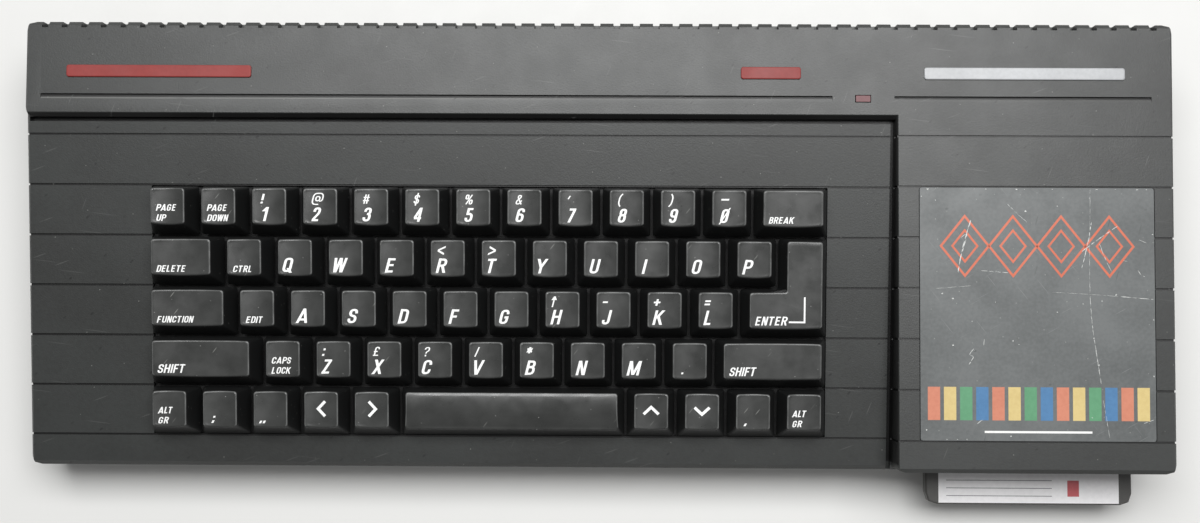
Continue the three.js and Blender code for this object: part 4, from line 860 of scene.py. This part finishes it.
def dressed(node_name, material, body, bevel, keep_angle=30.0, upright=None):
    """A merged copy of a CAD node with its sharp edges rounded, which stands for the node. Upright edges
    turn by the radius upright where it is given."""
    weld, flat = 2e-6, math.radians(0.6)  # metres between points that are one, and an angle that is no edge
    work = bmesh.new()
    work.from_mesh(NODES[node_name].data)
    bmesh.ops.remove_doubles(work, verts=work.verts, dist=weld)
    bmesh.ops.dissolve_limit(work, angle_limit=flat, verts=work.verts, edges=work.edges)
    mesh = bpy.data.meshes.new(node_name + "_shell")
    if upright:
        weight = work.edges.layers.float.new("bevel_weight_edge")
        for edge in work.edges:
            if edge.calc_face_angle(0.0) > math.radians(keep_angle):
                a, b = (v.co for v in edge.verts)
                steep = abs(a.z - b.z) > 0.5 * (a - b).length
                edge[weight] = 1.0 if steep else bevel / upright
    work.to_mesh(mesh)
    work.free()
    piece = finish_piece(node_name + "_shell", mesh, material, body, 180.0)
    rounding = piece.modifiers.new("rounded edges", "BEVEL")
    rounding.width = (upright or bevel) * MM
    rounding.segments = 4 if upright else 2
    rounding.limit_method = "WEIGHT" if upright else "ANGLE"
    rounding.angle_limit = math.radians(keep_angle)
    weights = piece.modifiers.new("even shading", "WEIGHTED_NORMAL")
    weights.keep_sharp = True
    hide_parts(node_name)


def repaint(node_name, material):
    """Gives a carried-over CAD node its finish."""
    mesh = NODES[node_name].data
    mesh.materials.clear()
    mesh.materials.append(material)


class CaseSettings(bpy.types.PropertyGroup):
    """Finish of the case's mouldings."""

    edge: bpy.props.FloatProperty(
        name="Edge Radius", description="Rounding of the mouldings' sharp edges",
        default=0.0003, min=0.0001, max=0.001, unit="LENGTH", precision=5)
    upper_dark: bpy.props.StringProperty(
        name="Upper Dark", description="Darker tone of the upper case, sRGB hex", default="#292a29")
    upper_light: bpy.props.StringProperty(
        name="Upper Light", description="Paler tone of the upper case, sRGB hex", default="#303231")
    lower: bpy.props.StringProperty(
        name="Lower", description="Tone of the lower case, sRGB hex", default="#2a2b2b")
    grain: bpy.props.FloatProperty(
        name="Grain Size", description="Spacing of the mould's grain",
        default=0.0006, min=0.0001, max=0.003, unit="LENGTH", precision=5)


class KeySettings(bpy.types.PropertyGroup):
    """Shape and finish of the key caps and what is printed on them."""

    dish: bpy.props.FloatProperty(
        name="Dish Depth", description="Depth of the trough in a key's top",
        default=0.0011, min=0.0, max=0.002, unit="LENGTH", precision=5)
    crown: bpy.props.FloatProperty(
        name="Crown Fall", description="How far the space bar's top falls to its front",
        default=0.0042, min=0.0, max=0.005, unit="LENGTH", precision=5)
    fillet: bpy.props.FloatProperty(
        name="Fillet", description="Radius along the edges of a key's top",
        default=0.00042, min=0.0001, max=0.001, unit="LENGTH", precision=5)
    letter_height: bpy.props.FloatProperty(
        name="Letter Height", description="Height of the large letters",
        default=0.0054, min=0.002, max=0.008, unit="LENGTH", precision=5)
    word_height: bpy.props.FloatProperty(
        name="Word Height", description="Height of the words",
        default=0.00245, min=0.001, max=0.005, unit="LENGTH", precision=5)
    line_height: bpy.props.FloatProperty(
        name="Line Height", description="From one line of words to the next",
        default=0.0038, min=0.002, max=0.008, unit="LENGTH", precision=5)
    stroke: bpy.props.FloatProperty(
        name="Stroke Weight", description="Width of a letter's upright, of its height",
        default=0.185, min=0.05, max=0.25, subtype="FACTOR")
    print_height: bpy.props.FloatProperty(
        name="Print Height", description="How far the printing stands proud",
        default=0.00005, min=0.00001, max=0.0003, unit="LENGTH", precision=6)
    # The tops' paler tones over the skirts' near-black are a painted sheen and a painted shade on one
    # plastic
    top_dark: bpy.props.StringProperty(
        name="Top Dark", description="Darker tone of a key's top, sRGB hex", default="#2f302f")
    top_light: bpy.props.StringProperty(
        name="Top Light", description="Paler tone of a key's top, sRGB hex", default="#3a3b3a")
    # The pale tone of a top's rim is a painted highlight
    edge_highlight: bpy.props.StringProperty(
        name="Edges", description="Tone of the painted highlight on a top's edges, sRGB hex", default="#6e6f6e")
    skirt_colour: bpy.props.StringProperty(
        name="Skirts", description="Tone of a key's skirts, sRGB hex", default="#101111")


class StageSettings(bpy.types.PropertyGroup):
    """Camera, light and floor."""

    distance: bpy.props.FloatProperty(
        name="Camera Height", description="Height of the camera over the desk",
        default=0.54645, min=0.2, max=3.0, unit="LENGTH")
    lens: bpy.props.FloatProperty(
        name="Lens", description="Focal length of the camera, in millimetres on 36 mm",
        default=40.348, min=10.0, max=200.0)
    sky: bpy.props.FloatProperty(
        name="Sky Level", description="Strength of the even light from all sides",
        default=0.2, min=0.0, max=2.0)
    rear_power: bpy.props.FloatProperty(
        name="Rear Power", description="Power of the softbox above the rear",
        default=19.5, min=0.0, max=100.0, unit="POWER")
    right_power: bpy.props.FloatProperty(
        name="Right Power", description="Power of the softbox over the right end",
        default=1.0, min=0.0, max=100.0, unit="POWER")
    fill_power: bpy.props.FloatProperty(
        name="Fill Power", description="Power of the fill light that gives no sheen",
        default=0.25, min=0.0, max=100.0, unit="POWER")
    floor_colour: bpy.props.StringProperty(
        name="Floor", description="Tone of the floor, sRGB hex", default="#dadad8")


class COMPUTER_OT_shells(bpy.types.Operator):
    """Dress the case halves and the front mouldings"""

    bl_idname = "computer.shells"
    bl_label = "Case Shells"

    def execute(self, context):
        look = context.scene.computer_case
        size = look.grain / MM
        # Charcoal ABS from a spark-eroded mould: an even fine grain, dull, with pale nicks, scuffs and
        # dust, and with painted near-black shade in its grooves and channels and a painted pale highlight
        # on their rear lips
        wear = [("#444544", 24.0, 7.0, 0.5, 0.35), ("#434443", 27.0, 12.0, 0.45, -0.12),
                ("#464746", 35.0, 6.0, 0.45, 1.2), ("#777874", 15.0, 0.5, 0.45, 0.0),
                ("#191a1a", 15.0, 2.0, 0.9, 0.7)]
        upper = plastic("charcoal ABS, moulded grain", look.upper_dark, look.upper_light, (0.385, 0.425),
                        size, 0.035, wear, painted_groove_light)
        # The lower half is the same plastic in near-black
        lower = plastic("near-black ABS, moulded grain", look.lower, "#2f3030", (0.5, 0.6), size, 0.03)
        # The drive's front is fine matt black
        black = plastic("black ABS, fine matt", "#1c1c1c", "#222222", (0.42, 0.5), 0.35, 0.012)
        edge = look.edge / MM
        dressed("upper_case", upper, "case", edge)
        dressed("lower_case", lower, "case", edge)
        dressed("drive_bezel", black, "case", edge)
        dressed("eject_button", black, "eject_button", edge)
        dressed("reset_button", black, "reset_button", edge)
        return {"FINISHED"}


class COMPUTER_OT_key_caps(bpy.types.Operator):
    """Make the key caps, their printing and the frame that carries them"""

    bl_idname = "computer.key_caps"
    bl_label = "Key Caps"

    def execute(self, context):
        look = context.scene.computer_keys
        # Near-black key ABS, tops smoother from fingers, with painted sheen on the tops and painted
        # highlights on their rims
        cap_material = cap_plastic(look)
        # White ink, dulled a little where fingers have rubbed it
        ink = plastic("white pad-printed ink", "#ebecea", "#f4f5f4", (0.35, 0.5), 0.5, 0.004)
        # The frame is near-black ABS that nobody polishes
        dark = plastic("black ABS, unpolished", "#161616", "#1b1b1b", (0.55, 0.65), 0.6, 0.01)
        sunk = 0.2  # printing starts this far inside the cap, and plungers end as far inside its ceiling
        holes = []
        for cap, legend in caps():
            moving = "key_" + cap.name in NODES
            body = "key_" + cap.name if moving else "case"
            points, faces, top, edge = cap.shell(look)
            low = PLUNGER_LOW if moving else PLATE_TOP
            shells = [(points, faces)]
            for x, y in cap.plungers:
                half = PLUNGER / 2
                shells.append(block(x - half, x + half, y - half, y + half, low, CEILING + sunk))
                if moving:
                    holes.append((x, y))
            points, faces = merged(shells)
            rest = np.zeros(len(points) - len(top))
            shares = {"top": np.concatenate([top, rest]), "edge": np.concatenate([edge, rest])}
            piece = mesh_piece("cap_" + cap.name, on_keyboard(points), faces, cap_material, body,
                               38.0, shares)
            if moving:
                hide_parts("key_" + cap.name)
            printing = legend_shells(cap, legend, look)
            if printing:
                points, faces = merged(printing)
                surface = TOP - cap.drop(points[:, :2], look)
                points[:, 2] = surface - sunk + points[:, 2] * (sunk + look.print_height / MM)
                mesh_piece("legend_" + cap.name, on_keyboard(points), faces, ink, body, 30.0)
        piece = self.frame_piece(holes, dark)
        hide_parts("key_frame")
        return {"FINISHED"}

    @staticmethod
    def frame_piece(holes, material):
        """A plate with a square hole and a collar for each plunger, on a rim."""
        wide = WELL_WIDTH / 2 + RIM_MARGIN
        deep = WELL_DEPTH / 2 + RIM_MARGIN
        hole = PLUNGER / 2 + GAP
        stems = np.array(holes)
        xs = np.unique(np.round(np.concatenate([[-wide, wide], stems[:, 0] - hole, stems[:, 0] + hole]), 4))
        ys = np.unique(np.round(np.concatenate([[-deep, deep], stems[:, 1] - hole, stems[:, 1] + hole]), 4))
        mid_x = (xs[:-1] + xs[1:]) / 2
        mid_y = (ys[:-1] + ys[1:]) / 2
        over = np.abs(mid_x[:, None, None] - stems[:, 0]) < hole
        over = over & (np.abs(mid_y[None, :, None] - stems[:, 1]) < hole)
        shells = [masked_slab(xs, ys, ~over.any(axis=2), PLATE_BOTTOM, PLATE_TOP)]
        ring = [[True] * 3, [True, False, True], [True] * 3]
        overlap = 0.3  # collars and rim start this far inside the plate
        outer = hole + COLLAR_WALL
        spans = np.array([-outer, -hole, hole, outer])
        for x, y in holes:
            shells.append(masked_slab(spans + x, spans + y, ring, PLATE_TOP - overlap,
                                      PLATE_TOP + COLLAR_HEIGHT))
        rim_x = [-wide, -wide + RIM_WALL, wide - RIM_WALL, wide]
        rim_y = [-deep, -deep + RIM_WALL, deep - RIM_WALL, deep]
        shells.append(masked_slab(rim_x, rim_y, ring, RIM_BOTTOM, PLATE_BOTTOM + overlap))
        points, faces = merged(shells)
        return mesh_piece("keyboard_frame", on_keyboard(points), faces, material, "case",
                          30.0)


class COMPUTER_OT_label(bpy.types.Operator):
    """Print the plain pattern on the label plate and set the trim bars"""

    bl_idname = "computer.label"
    bl_label = "Label and Trim"

    def execute(self, context):
        # Grey vinyl print, rubbed and scratched by years of hands and sleeves
        plate = scratched_print("grey vinyl print, scratched", "#505353", "#626565", (0.36, 0.48))
        repaint("label_plate", plate)
        # Screen-printed ink: an even colour with a slight sheen
        inks = {name: plastic(name + " screen-printed ink", dark, light, (0.35, 0.5), 0.5, 0.004)
                for name, dark, light in INKS}
        # Places on the label are in mm from its middle
        middle_y = 25.4
        reaches = ((9.5, 8.4), (5.2, 4.2))  # of each diamond's outer and inner outline
        diamonds = [flat_frame(self.diamond(x, middle_y, outer), self.diamond(x, middle_y, inner))
                    for x in (-27.0, -9.0, 9.0, 27.0) for outer, inner in reaches]
        self.printed("print_diamonds", diamonds, inks["coral"])
        count, spacing, first = 14, 6.0, -38.8
        tones = ("orange", "yellow", "green", "blue")
        for tone, name in enumerate(tones):
            cells = [self.cell(first + spacing * index, -33.5, 4.6, 12.4)
                     for index in range(tone, count, len(tones))]
            self.printed("print_blocks_" + name, cells, inks[name])
        self.printed("print_rule", [self.cell(0, -44.0, 40.0, 0.8)], inks["white"])
        # Scratches and chips show the print's pale base
        pale = plastic("white vinyl base, laid bare", "#b4b6b4", "#cdcfcc", (0.5, 0.6), 0.5, 0.004)
        self.printed("label_scratches", self.scratches(), pale, 0.035)
        self.trim_bars()
        return {"FINISHED"}

    @staticmethod
    def scratches():
        """Scratches as broken ribbons whose width wanders along them, and specks as uneven round slabs."""
        step = 0.4
        edge_x, edge_y = 43.5, 46.9  # the label's reach from its middle
        chance = np.random.default_rng(12)
        shells = []
        for points, width in LABEL_SCRATCHES:
            line = bends(points, 6.0) if len(points) > 2 else np.array(points, float)
            length = np.append(0, np.cumsum(np.linalg.norm(np.diff(line, axis=0), axis=1)))
            start = 0.0
            while start < length[-1] - 2 * step:
                end = min(start + chance.uniform(1.2, 5.0), length[-1])
                way = np.linspace(start, end, max(4, int((end - start) / step)))
                part = np.column_stack([np.interp(way, length, line[:, axis]) for axis in (0, 1)])
                part += chance.normal(0, 0.035, part.shape)
                taper = np.sin(np.linspace(0.15, math.pi - 0.15, len(way)))
                shells.append(ribbon(part, width * taper * chance.uniform(0.5, 1.5, len(way))))
                start = end + chance.uniform(0.05, 0.7)
        for x, y, radius in LABEL_SPECKS:
            reach = radius * chance.uniform(0.3, 0.95, 9)
            flat = (x, y) + reach[:, None] * circle(9) * (1.2, 1)
            flat = np.clip(flat, (-edge_x, -edge_y), (edge_x, edge_y))
            shells.append(skin([raised(flat, 0), raised(flat, 1)]))
        return shells

    @staticmethod
    def diamond(x, y, reach):
        """A diamond about a point, a quarter taller than it is wide."""
        return np.array((x, y)) + reach * np.array([(1, 0), (0, 1.25), (-1, 0), (0, -1.25)])

    @staticmethod
    def cell(x, y, wide, deep):
        """A small printed rectangle about a point."""
        return block(x - wide / 2, x + wide / 2, y - deep / 2, y + deep / 2, 0, 1)

    @staticmethod
    def printed(name, shells, material, proud=0.03):
        """Printing that stands a little proud of the label."""
        points, faces = merged(shells)
        points[:, 2] = -0.1 + points[:, 2] * (0.2 + proud)
        mesh_piece(name, on_label(points), faces, material, "case", 30.0)

    @staticmethod
    def trim_bars():
        """Plain raised bars, two red and one bright, each a rounded outline with a small round-over."""
        # The moulding's own red right through, dull
        red = plastic("red moulded ABS", "#7a221e", "#872a26", (0.5, 0.6), 0.5, 0.01)
        # Silver paint on plastic, which spreads the light more than bare metal does
        bright = plastic("silver-painted ABS", "#9a9c9e", "#aaacae", (0.3, 0.36), 0.5, 0.003)
        y = 65.4 + MIDDLE_Y
        half_depth, corner = 2.3, 0.9
        ground = BLOCK_FRONT + (y - FRONT) * math.tan(BLOCK_SLOPE)
        inwards = np.array([(1, 1), (-1, 1), (-1, -1), (1, -1)], float)
        for name, x0, x1, material in (("left", -201.1, -130.9, red), ("middle", 54.4, 77.0, red),
                                       ("right", 123.4, 198.7, bright)):
            low, high = y - half_depth, y + half_depth
            base = np.array([(x0, low), (x1, low), (x1, high), (x0, high)])
            points, faces = skin([
                raised(outline(base + inset * inwards, corner), ground + height)
                for inset, height in ((0, -0.3), (0, 0.4), (0.09, 0.61), (0.3, 0.7), (0.5, 0.7))])
            mesh_piece("trim_bar_" + name, points, faces, material, "case", 40.0)


class COMPUTER_OT_disc(bpy.types.Operator):
    """Dress the disc and put a blank label on it"""

    bl_idname = "computer.disc"
    bl_label = "Disc"

    def execute(self, context):
        # Polystyrene from a smooth mould: dark, with a soft sheen
        shell = plastic("dark grey polystyrene, semi-matt", "#3c3b39", "#444341", (0.38, 0.48), 0.5, 0.01)
        # Silver-white coated paper with a faint fibre
        paper = plastic("silver-white coated paper", "#d8d7d8", "#e3e2e3", (0.4, 0.5), 0.4, 0.004)
        # Printing ink soaked into the paper, duller than its coating
        grey = plastic("grey printed rule", "#6d6d6f", "#78787a", (0.45, 0.55), 0.4, 0.004)
        red = plastic("red printed block", "#a84a4e", "#b6565a", (0.45, 0.55), 0.4, 0.004)
        dressed("disc_shell", shell, "disc", 0.3, 14.0, 1.6)
        left, right = 133.6, 203.5  # the paper's two sides
        self.sheet("disc_label", [(left, right, 0.6, 46.0)], 0.0, 0.12, paper)
        rules = [(left + 3, left + 44, y, y + 0.28) for y in (3.2, 6.2, 9.2)]
        self.sheet("disc_label_rules", rules, 0.1, 0.05, grey)
        self.sheet("disc_label_block", [(left + 50, left + 54.5, 3.2, 9.4)], 0.1, 0.05, red)
        return {"FINISHED"}

    @staticmethod
    def sheet(name, areas, rise, thickness, material):
        """Thin flat rectangles on the disc, each from left to right and between two distances behind the
        disc's front, at a rise over its top."""
        sunk = 0.3
        low, high = (np.array(c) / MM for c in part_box("disc_shell"))
        front, height = low[1], high[2] + rise
        points, faces = merged([block(x0, x1, front + y0, front + y1, height - sunk, height + thickness)
                                for x0, x1, y0, y1 in areas])
        mesh_piece(name, points, faces, material, "disc", 30.0)


class COMPUTER_OT_insides(bpy.types.Operator):
    """Give the pieces inside the case their finishes"""

    bl_idname = "computer.insides"
    bl_label = "Insides"

    def execute(self, context):
        # Zinc-plated pressed steel: faint rolling streaks
        zinc = metal("zinc-plated steel, rolled", "#9a9c9d", "#b4b6b8", (0.28, 0.42), (30.0, 1.2, 30.0))
        # Turned aluminium, with fine rings too small to draw
        turned = metal("turned aluminium", "#b9bbbd", "#cfd1d3", (0.2, 0.3), (4.0, 4.0, 0.6))
        # Die-cast aluminium: rougher and duller
        cast = metal("die-cast aluminium", "#8f9192", "#a6a8aa", (0.4, 0.55), (2.0, 2.0, 2.0), 0.03)
        # Silicone rubber, dull and dusty
        rubber = plastic("grey silicone rubber", "#8d8d88", "#989893", (0.6, 0.75), 0.8, 0.02)
        # Clear polyester film with silver print, which makes it pale and glossy
        film = plastic("polyester film with silver print", "#a9b4b8", "#c4ccd0", (0.2, 0.3), 4.0, 0.01)
        # Glass-fibre board under green resist, with black parts above its top face
        board = stepped("green-resist board with black parts", "#1f5136", "#242424", 10.15, (0.35, 0.5))
        # The window is dull red diffusing polystyrene
        red = plastic("red diffusing polystyrene", "#5c2c30", "#663438", (0.45, 0.55), 0.4, 0.006)
        for name in ("drive_chassis", "key_backplate"):
            repaint(name, zinc)
        repaint("drive_hub", turned)
        repaint("head_carriage", cast)
        self.domes(rubber)
        self.contacts()
        self.screws(zinc)
        repaint("key_membrane", film)
        repaint("main_board", board)
        repaint("power_led", red)
        return {"FINISHED"}

    @staticmethod
    def domes(rubber):
        """A mat with a round dome under the first plunger of each key. A moving key's dome gets a mesh of
        its own."""
        wide = WELL_WIDTH / 2 + RIM_MARGIN - RIM_WALL - GAP
        deep = WELL_DEPTH / 2 + RIM_MARGIN - RIM_WALL - GAP
        points, faces = block(-wide, wide, -deep, deep, MAT_BOTTOM, MAT_TOP)
        mat = mesh_piece("rubber_mat", on_keyboard(points), faces, rubber, "case", 30.0)
        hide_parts("dome_mat")
        # Radius and height over the mat, in mm, from the foot inside it to the crown
        profile = [(6.2, -0.3), (6.2, 0.0), (5.9, 0.5), (5.3, 1.3), (4.5, 2.6), (4.1, 3.3), (3.9, 3.8),
                   (3.5, 4.1), (3.1, 4.2), (1.9, 4.2), (1.7, 4.0)]
        for cap, _ in caps():
            x, y = cap.plungers[0]
            points, faces = revolved([(r, MAT_TOP + h) for r, h in profile], 24, (x, y))
            piece = mesh_piece("dome_" + cap.name, on_keyboard(points), faces, rubber, "case",
                               35.0)
            if "key_" + cap.name in NODES:
                low, high = on_keyboard([(x, y, MAT_TOP), (x, y, MAT_TOP + 1)]) * MM
                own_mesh(piece)

    @staticmethod
    def contacts():
        """Pins, sleeves and gilt fingers in the sockets, where the board has them. The shapes are drawn
        upright and then laid along Y, as (x, z, -y), or along -X, as (-z, y, x)."""
        # Gold flash over brass: warm, with a satin sheen
        gilt = metal("gold-flashed contact brass", "#b08a45", "#c9a45c", (0.25, 0.35),
                     (6.0, 2.0, 2.0), 0.003)
        # Nickel plate: a little warmer than steel, smooth
        nickel = metal("nickel-plated shell", "#a9aaa8", "#bfc0be", (0.25, 0.35), (3.0, 3.0, 3.0), 0.004)
        board_low, board_top = 8.5, 10.1
        rear_face, half = REAR - 2.8, CASE_WIDTH / 2
        tenth_inch = 2.54

        def pin(radius, length):
            return revolved([(radius, 0), (radius, length - radius), (0.75 * radius, length - 0.3 * radius),
                             (0.4 * radius, length)], 10)

        def tube(outer, inner, length):
            profile = ((outer, 0), (outer, length - 0.3), (outer - 0.3, length), (inner + 0.2, length),
                       (inner, length - 0.2), (inner, 0))
            return skin([raised(circle(28) * radius, height) for radius, height in profile], True)

        def along_y(shape, x, y, z):
            points, faces = shape
            return points @ np.array([(1, 0, 0), (0, 0, -1), (0, 1, 0)]) + (x, y, z), faces

        def spread(count, pitch):
            return (np.arange(count) - (count - 1) / 2) * pitch

        # Round sockets: pins on an arc in a sleeve, the phono socket's sleeve, and the jack's ring. Places
        # across the rear are shares of half the case's width.
        round_pins, fingers, plates = [], [], []
        for share, count in ((-0.88, 6), (-0.64, 8)):
            turn = np.linspace(-0.28 * math.pi, 1.28 * math.pi, count)
            for x, z in zip(3.6 * np.cos(turn), 3.6 * np.sin(turn)):
                round_pins.append(
                    along_y(pin(0.6, 6.5), share * half + x, rear_face - 10.2, board_top + 9 + z))
            plates.append(along_y(tube(6.98, 6.3, 9.0), share * half, rear_face - 9.6, board_top + 9))
        plates.append(along_y(tube(4.35, 1.9, 2.35), -0.76 * half, REAR - 2.7, board_top + 8.5))
        plates.append(along_y(tube(2.9, 1.85, 0.5), -0.55 * half, rear_face - 0.1, board_top + 5))
        # Modular sockets: six leaning springs in each
        for share in (-0.47, -0.38):
            for x in np.linspace(-3.2, 3.2, 6):
                points, faces = block(-0.22, 0.22, -0.16, 0.16, 0, 9.6)
                points[:, 1] += 0.32 * points[:, 2]
                place = (share * half + x, rear_face - 10.9, board_top + 9.4)
                fingers.append(along_y((points, faces), *place))
        # Edge connectors: a gilt strip every tenth of an inch on both faces of the board
        for share, width in ((-0.13, 62), (0.19, 46), (0.44, 36)):
            for x in spread(int((width - 3) / tenth_inch), tenth_inch) + share * half:
                for z0, z1 in ((board_top - 0.1, board_top + 0.06), (board_low - 0.06, board_low + 0.1)):
                    fingers.append(block(x - 0.85, x + 0.85, REAR - 13.0, REAR - 3.3, z0, z1))
        # Joystick sockets: rows of five and four pins
        for y in (STEP_Y - 12, STEP_Y - 46):
            for count, z in ((5, 1.42), (4, -1.42)):
                for shift in spread(count, 2.77):
                    points, faces = pin(0.5, 5.4)
                    points = points @ np.array([(0, 0, 1), (0, 1, 0), (-1, 0, 0)])
                    fingers.append((points + (-half + 7.1, y + shift, board_top + 6.3 + z), faces))
        for name, shells, material in (
                ("round_socket_pins", round_pins, gilt), ("socket_contacts", fingers, gilt),
                ("socket_shells", plates, nickel)):
            points, faces = merged(shells)
            mesh_piece(name, points, faces, material, "case", 35.0)

    @staticmethod
    def screws(zinc):
        """Pan-head screws with a cross in the holes beneath. The head is z = low + 0.5 (r / 2.7)^2, and the
        cross is sunk 0.9 mm where the lesser of |x| and |y| is under 0.4 mm and r is under 1.7 mm."""
        low, high, reach = 6.0, 7.9, 2.7
        shells = []
        # Places as shares of half the case's width and depth
        for x_share, y_share in (
                (-0.92, -0.853), (0.466, -0.853), (-0.85, 0.62), (-0.04, 0.62), (0.945, 0.83)):
            centre = (x_share * CASE_WIDTH / 2, MIDDLE_Y + y_share * CASE_DEPTH / 2)
            rings = []
            for radius in (0.2, 0.5, 0.8, 1.1, 1.4, 1.6, 1.8, 2.2, 2.5, reach):
                flat = circle(48) * radius
                cross = np.clip((0.5 - np.abs(flat).min(axis=1)) / 0.15, 0, 1)
                cross *= np.clip((1.8 - radius) / 0.2, 0, 1)
                rings.append(raised(flat + centre, low + 0.5 * (radius / reach) ** 2 + 0.9 * cross))
            rings.append(raised(circle(48) * reach + centre, high))
            shells.append(skin(rings))
        points, faces = merged(shells)
        mesh_piece("case_screws", points, faces, zinc, "case", 40.0)


class COMPUTER_OT_stage(bpy.types.Operator):
    """Set the camera, the light and the floor"""

    bl_idname = "computer.stage"
    bl_label = "Stage"

    def execute(self, context):
        look = context.scene.computer_stage
        self.camera(look)
        self.lights(look)
        reach = 4.0
        floor = bpy.data.meshes.new("floor")
        floor.from_pydata([(-reach, -reach, 0), (reach, -reach, 0), (reach, reach, 0), (-reach, reach, 0)],
                          [], [(0, 1, 2, 3)])
        # Studio paper, matt and of one tone
        floor.materials.append(plastic("pale paper floor", look.floor_colour, look.floor_colour,
                                       (0.6, 0.7), 2.0, 0.01))
        piece = bpy.data.objects.new("floor", floor)
        context.scene.collection.objects.link(piece)
        piece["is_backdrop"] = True
        context.scene.view_settings.view_transform = "Standard"
        return {"FINISHED"}

    @staticmethod
    def camera(look):
        """The camera of the photograph: it looks down from above the front of the keyboard."""
        data = bpy.data.cameras.new("camera")
        data.lens = look.lens
        data.sensor_width = 36.0
        data.sensor_fit = "HORIZONTAL"
        data.clip_start = 0.01
        # Turns in degrees and a place in metres, fitted to the photograph's keys
        turn = Matrix.Identity(3)
        for axis, degrees in (("Z", -0.28), ("Y", -0.57), ("X", -3.05)):
            turn = turn @ Matrix.Rotation(math.radians(degrees), 3, axis)
        camera = bpy.data.objects.new("camera", data)
        place = Matrix.Translation((0.00662, -0.02583, look.distance))
        camera.matrix_world = place @ turn.transposed().to_4x4()
        bpy.context.scene.collection.objects.link(camera)
        bpy.context.scene.camera = camera

    @staticmethod
    def lights(look):
        """A pale even sky, a softbox above the rear, one over the right end, and a fill without sheen."""
        world = bpy.data.worlds.new("studio")
        world.use_nodes = True
        background = world.node_tree.nodes["Background"]
        background.inputs["Color"].default_value = (1, 1, 1, 1)
        background.inputs["Strength"].default_value = look.sky
        bpy.context.scene.world = world
        for name, size, power, place, sheen in (
                ("rear softbox", (1.2, 0.58), look.rear_power, (0.05, 0.42, 1.15), True),
                ("right softbox", (0.7, 0.9), look.right_power, (0.62, -0.1, 1.1), True),
                ("front fill", (1.4, 0.8), look.fill_power, (-0.2, -0.7, 1.2), False)):
            data = bpy.data.lights.new(name, "AREA")
            data.shape = "RECTANGLE"
            data.size, data.size_y = size
            data.energy = power
            lamp = bpy.data.objects.new(name, data)
            lamp.visible_glossy = sheen
            place = Vector(place)
            turn = place.to_track_quat("Z", "Y").to_matrix().to_4x4()
            lamp.matrix_world = Matrix.Translation(place) @ turn
            bpy.context.scene.collection.objects.link(lamp)


STEPS = (COMPUTER_OT_stage, COMPUTER_OT_shells, COMPUTER_OT_key_caps, COMPUTER_OT_label, COMPUTER_OT_disc,
         COMPUTER_OT_insides)
SETTINGS = {"computer_case": CaseSettings, "computer_keys": KeySettings, "computer_stage": StageSettings}


class COMPUTER_PT_panel(bpy.types.Panel):
    """Settings and steps of the computer's looks"""

    bl_label = "Home Computer"
    bl_space_type = "VIEW_3D"
    bl_region_type = "UI"
    bl_category = "Computer"

    def draw(self, context):
        for name in SETTINGS:
            box = self.layout.box()
            group = getattr(context.scene, name)
            for prop in group.bl_rna.properties:
                if prop.identifier not in ("rna_type", "name"):
                    box.prop(group, prop.identifier)
        for step in STEPS:
            self.layout.operator(step.bl_idname)


CLASSES = (*SETTINGS.values(), *STEPS, COMPUTER_PT_panel)


def register():
    for cls in CLASSES:
        bpy.utils.register_class(cls)
    for name, cls in SETTINGS.items():
        setattr(bpy.types.Scene, name, bpy.props.PointerProperty(type=cls))


def unregister():
    for name in SETTINGS:
        delattr(bpy.types.Scene, name)
    for cls in reversed(CLASSES):
        bpy.utils.unregister_class(cls)


def main():
    register()
    for step in STEPS:
        group, name = step.bl_idname.split(".")
        getattr(getattr(bpy.ops, group), name)()
    corners = [[list(map(float, corner)) for corner in box] for box in (CAD_BOUNDS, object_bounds())]


if __name__ == "__main__":
    main()
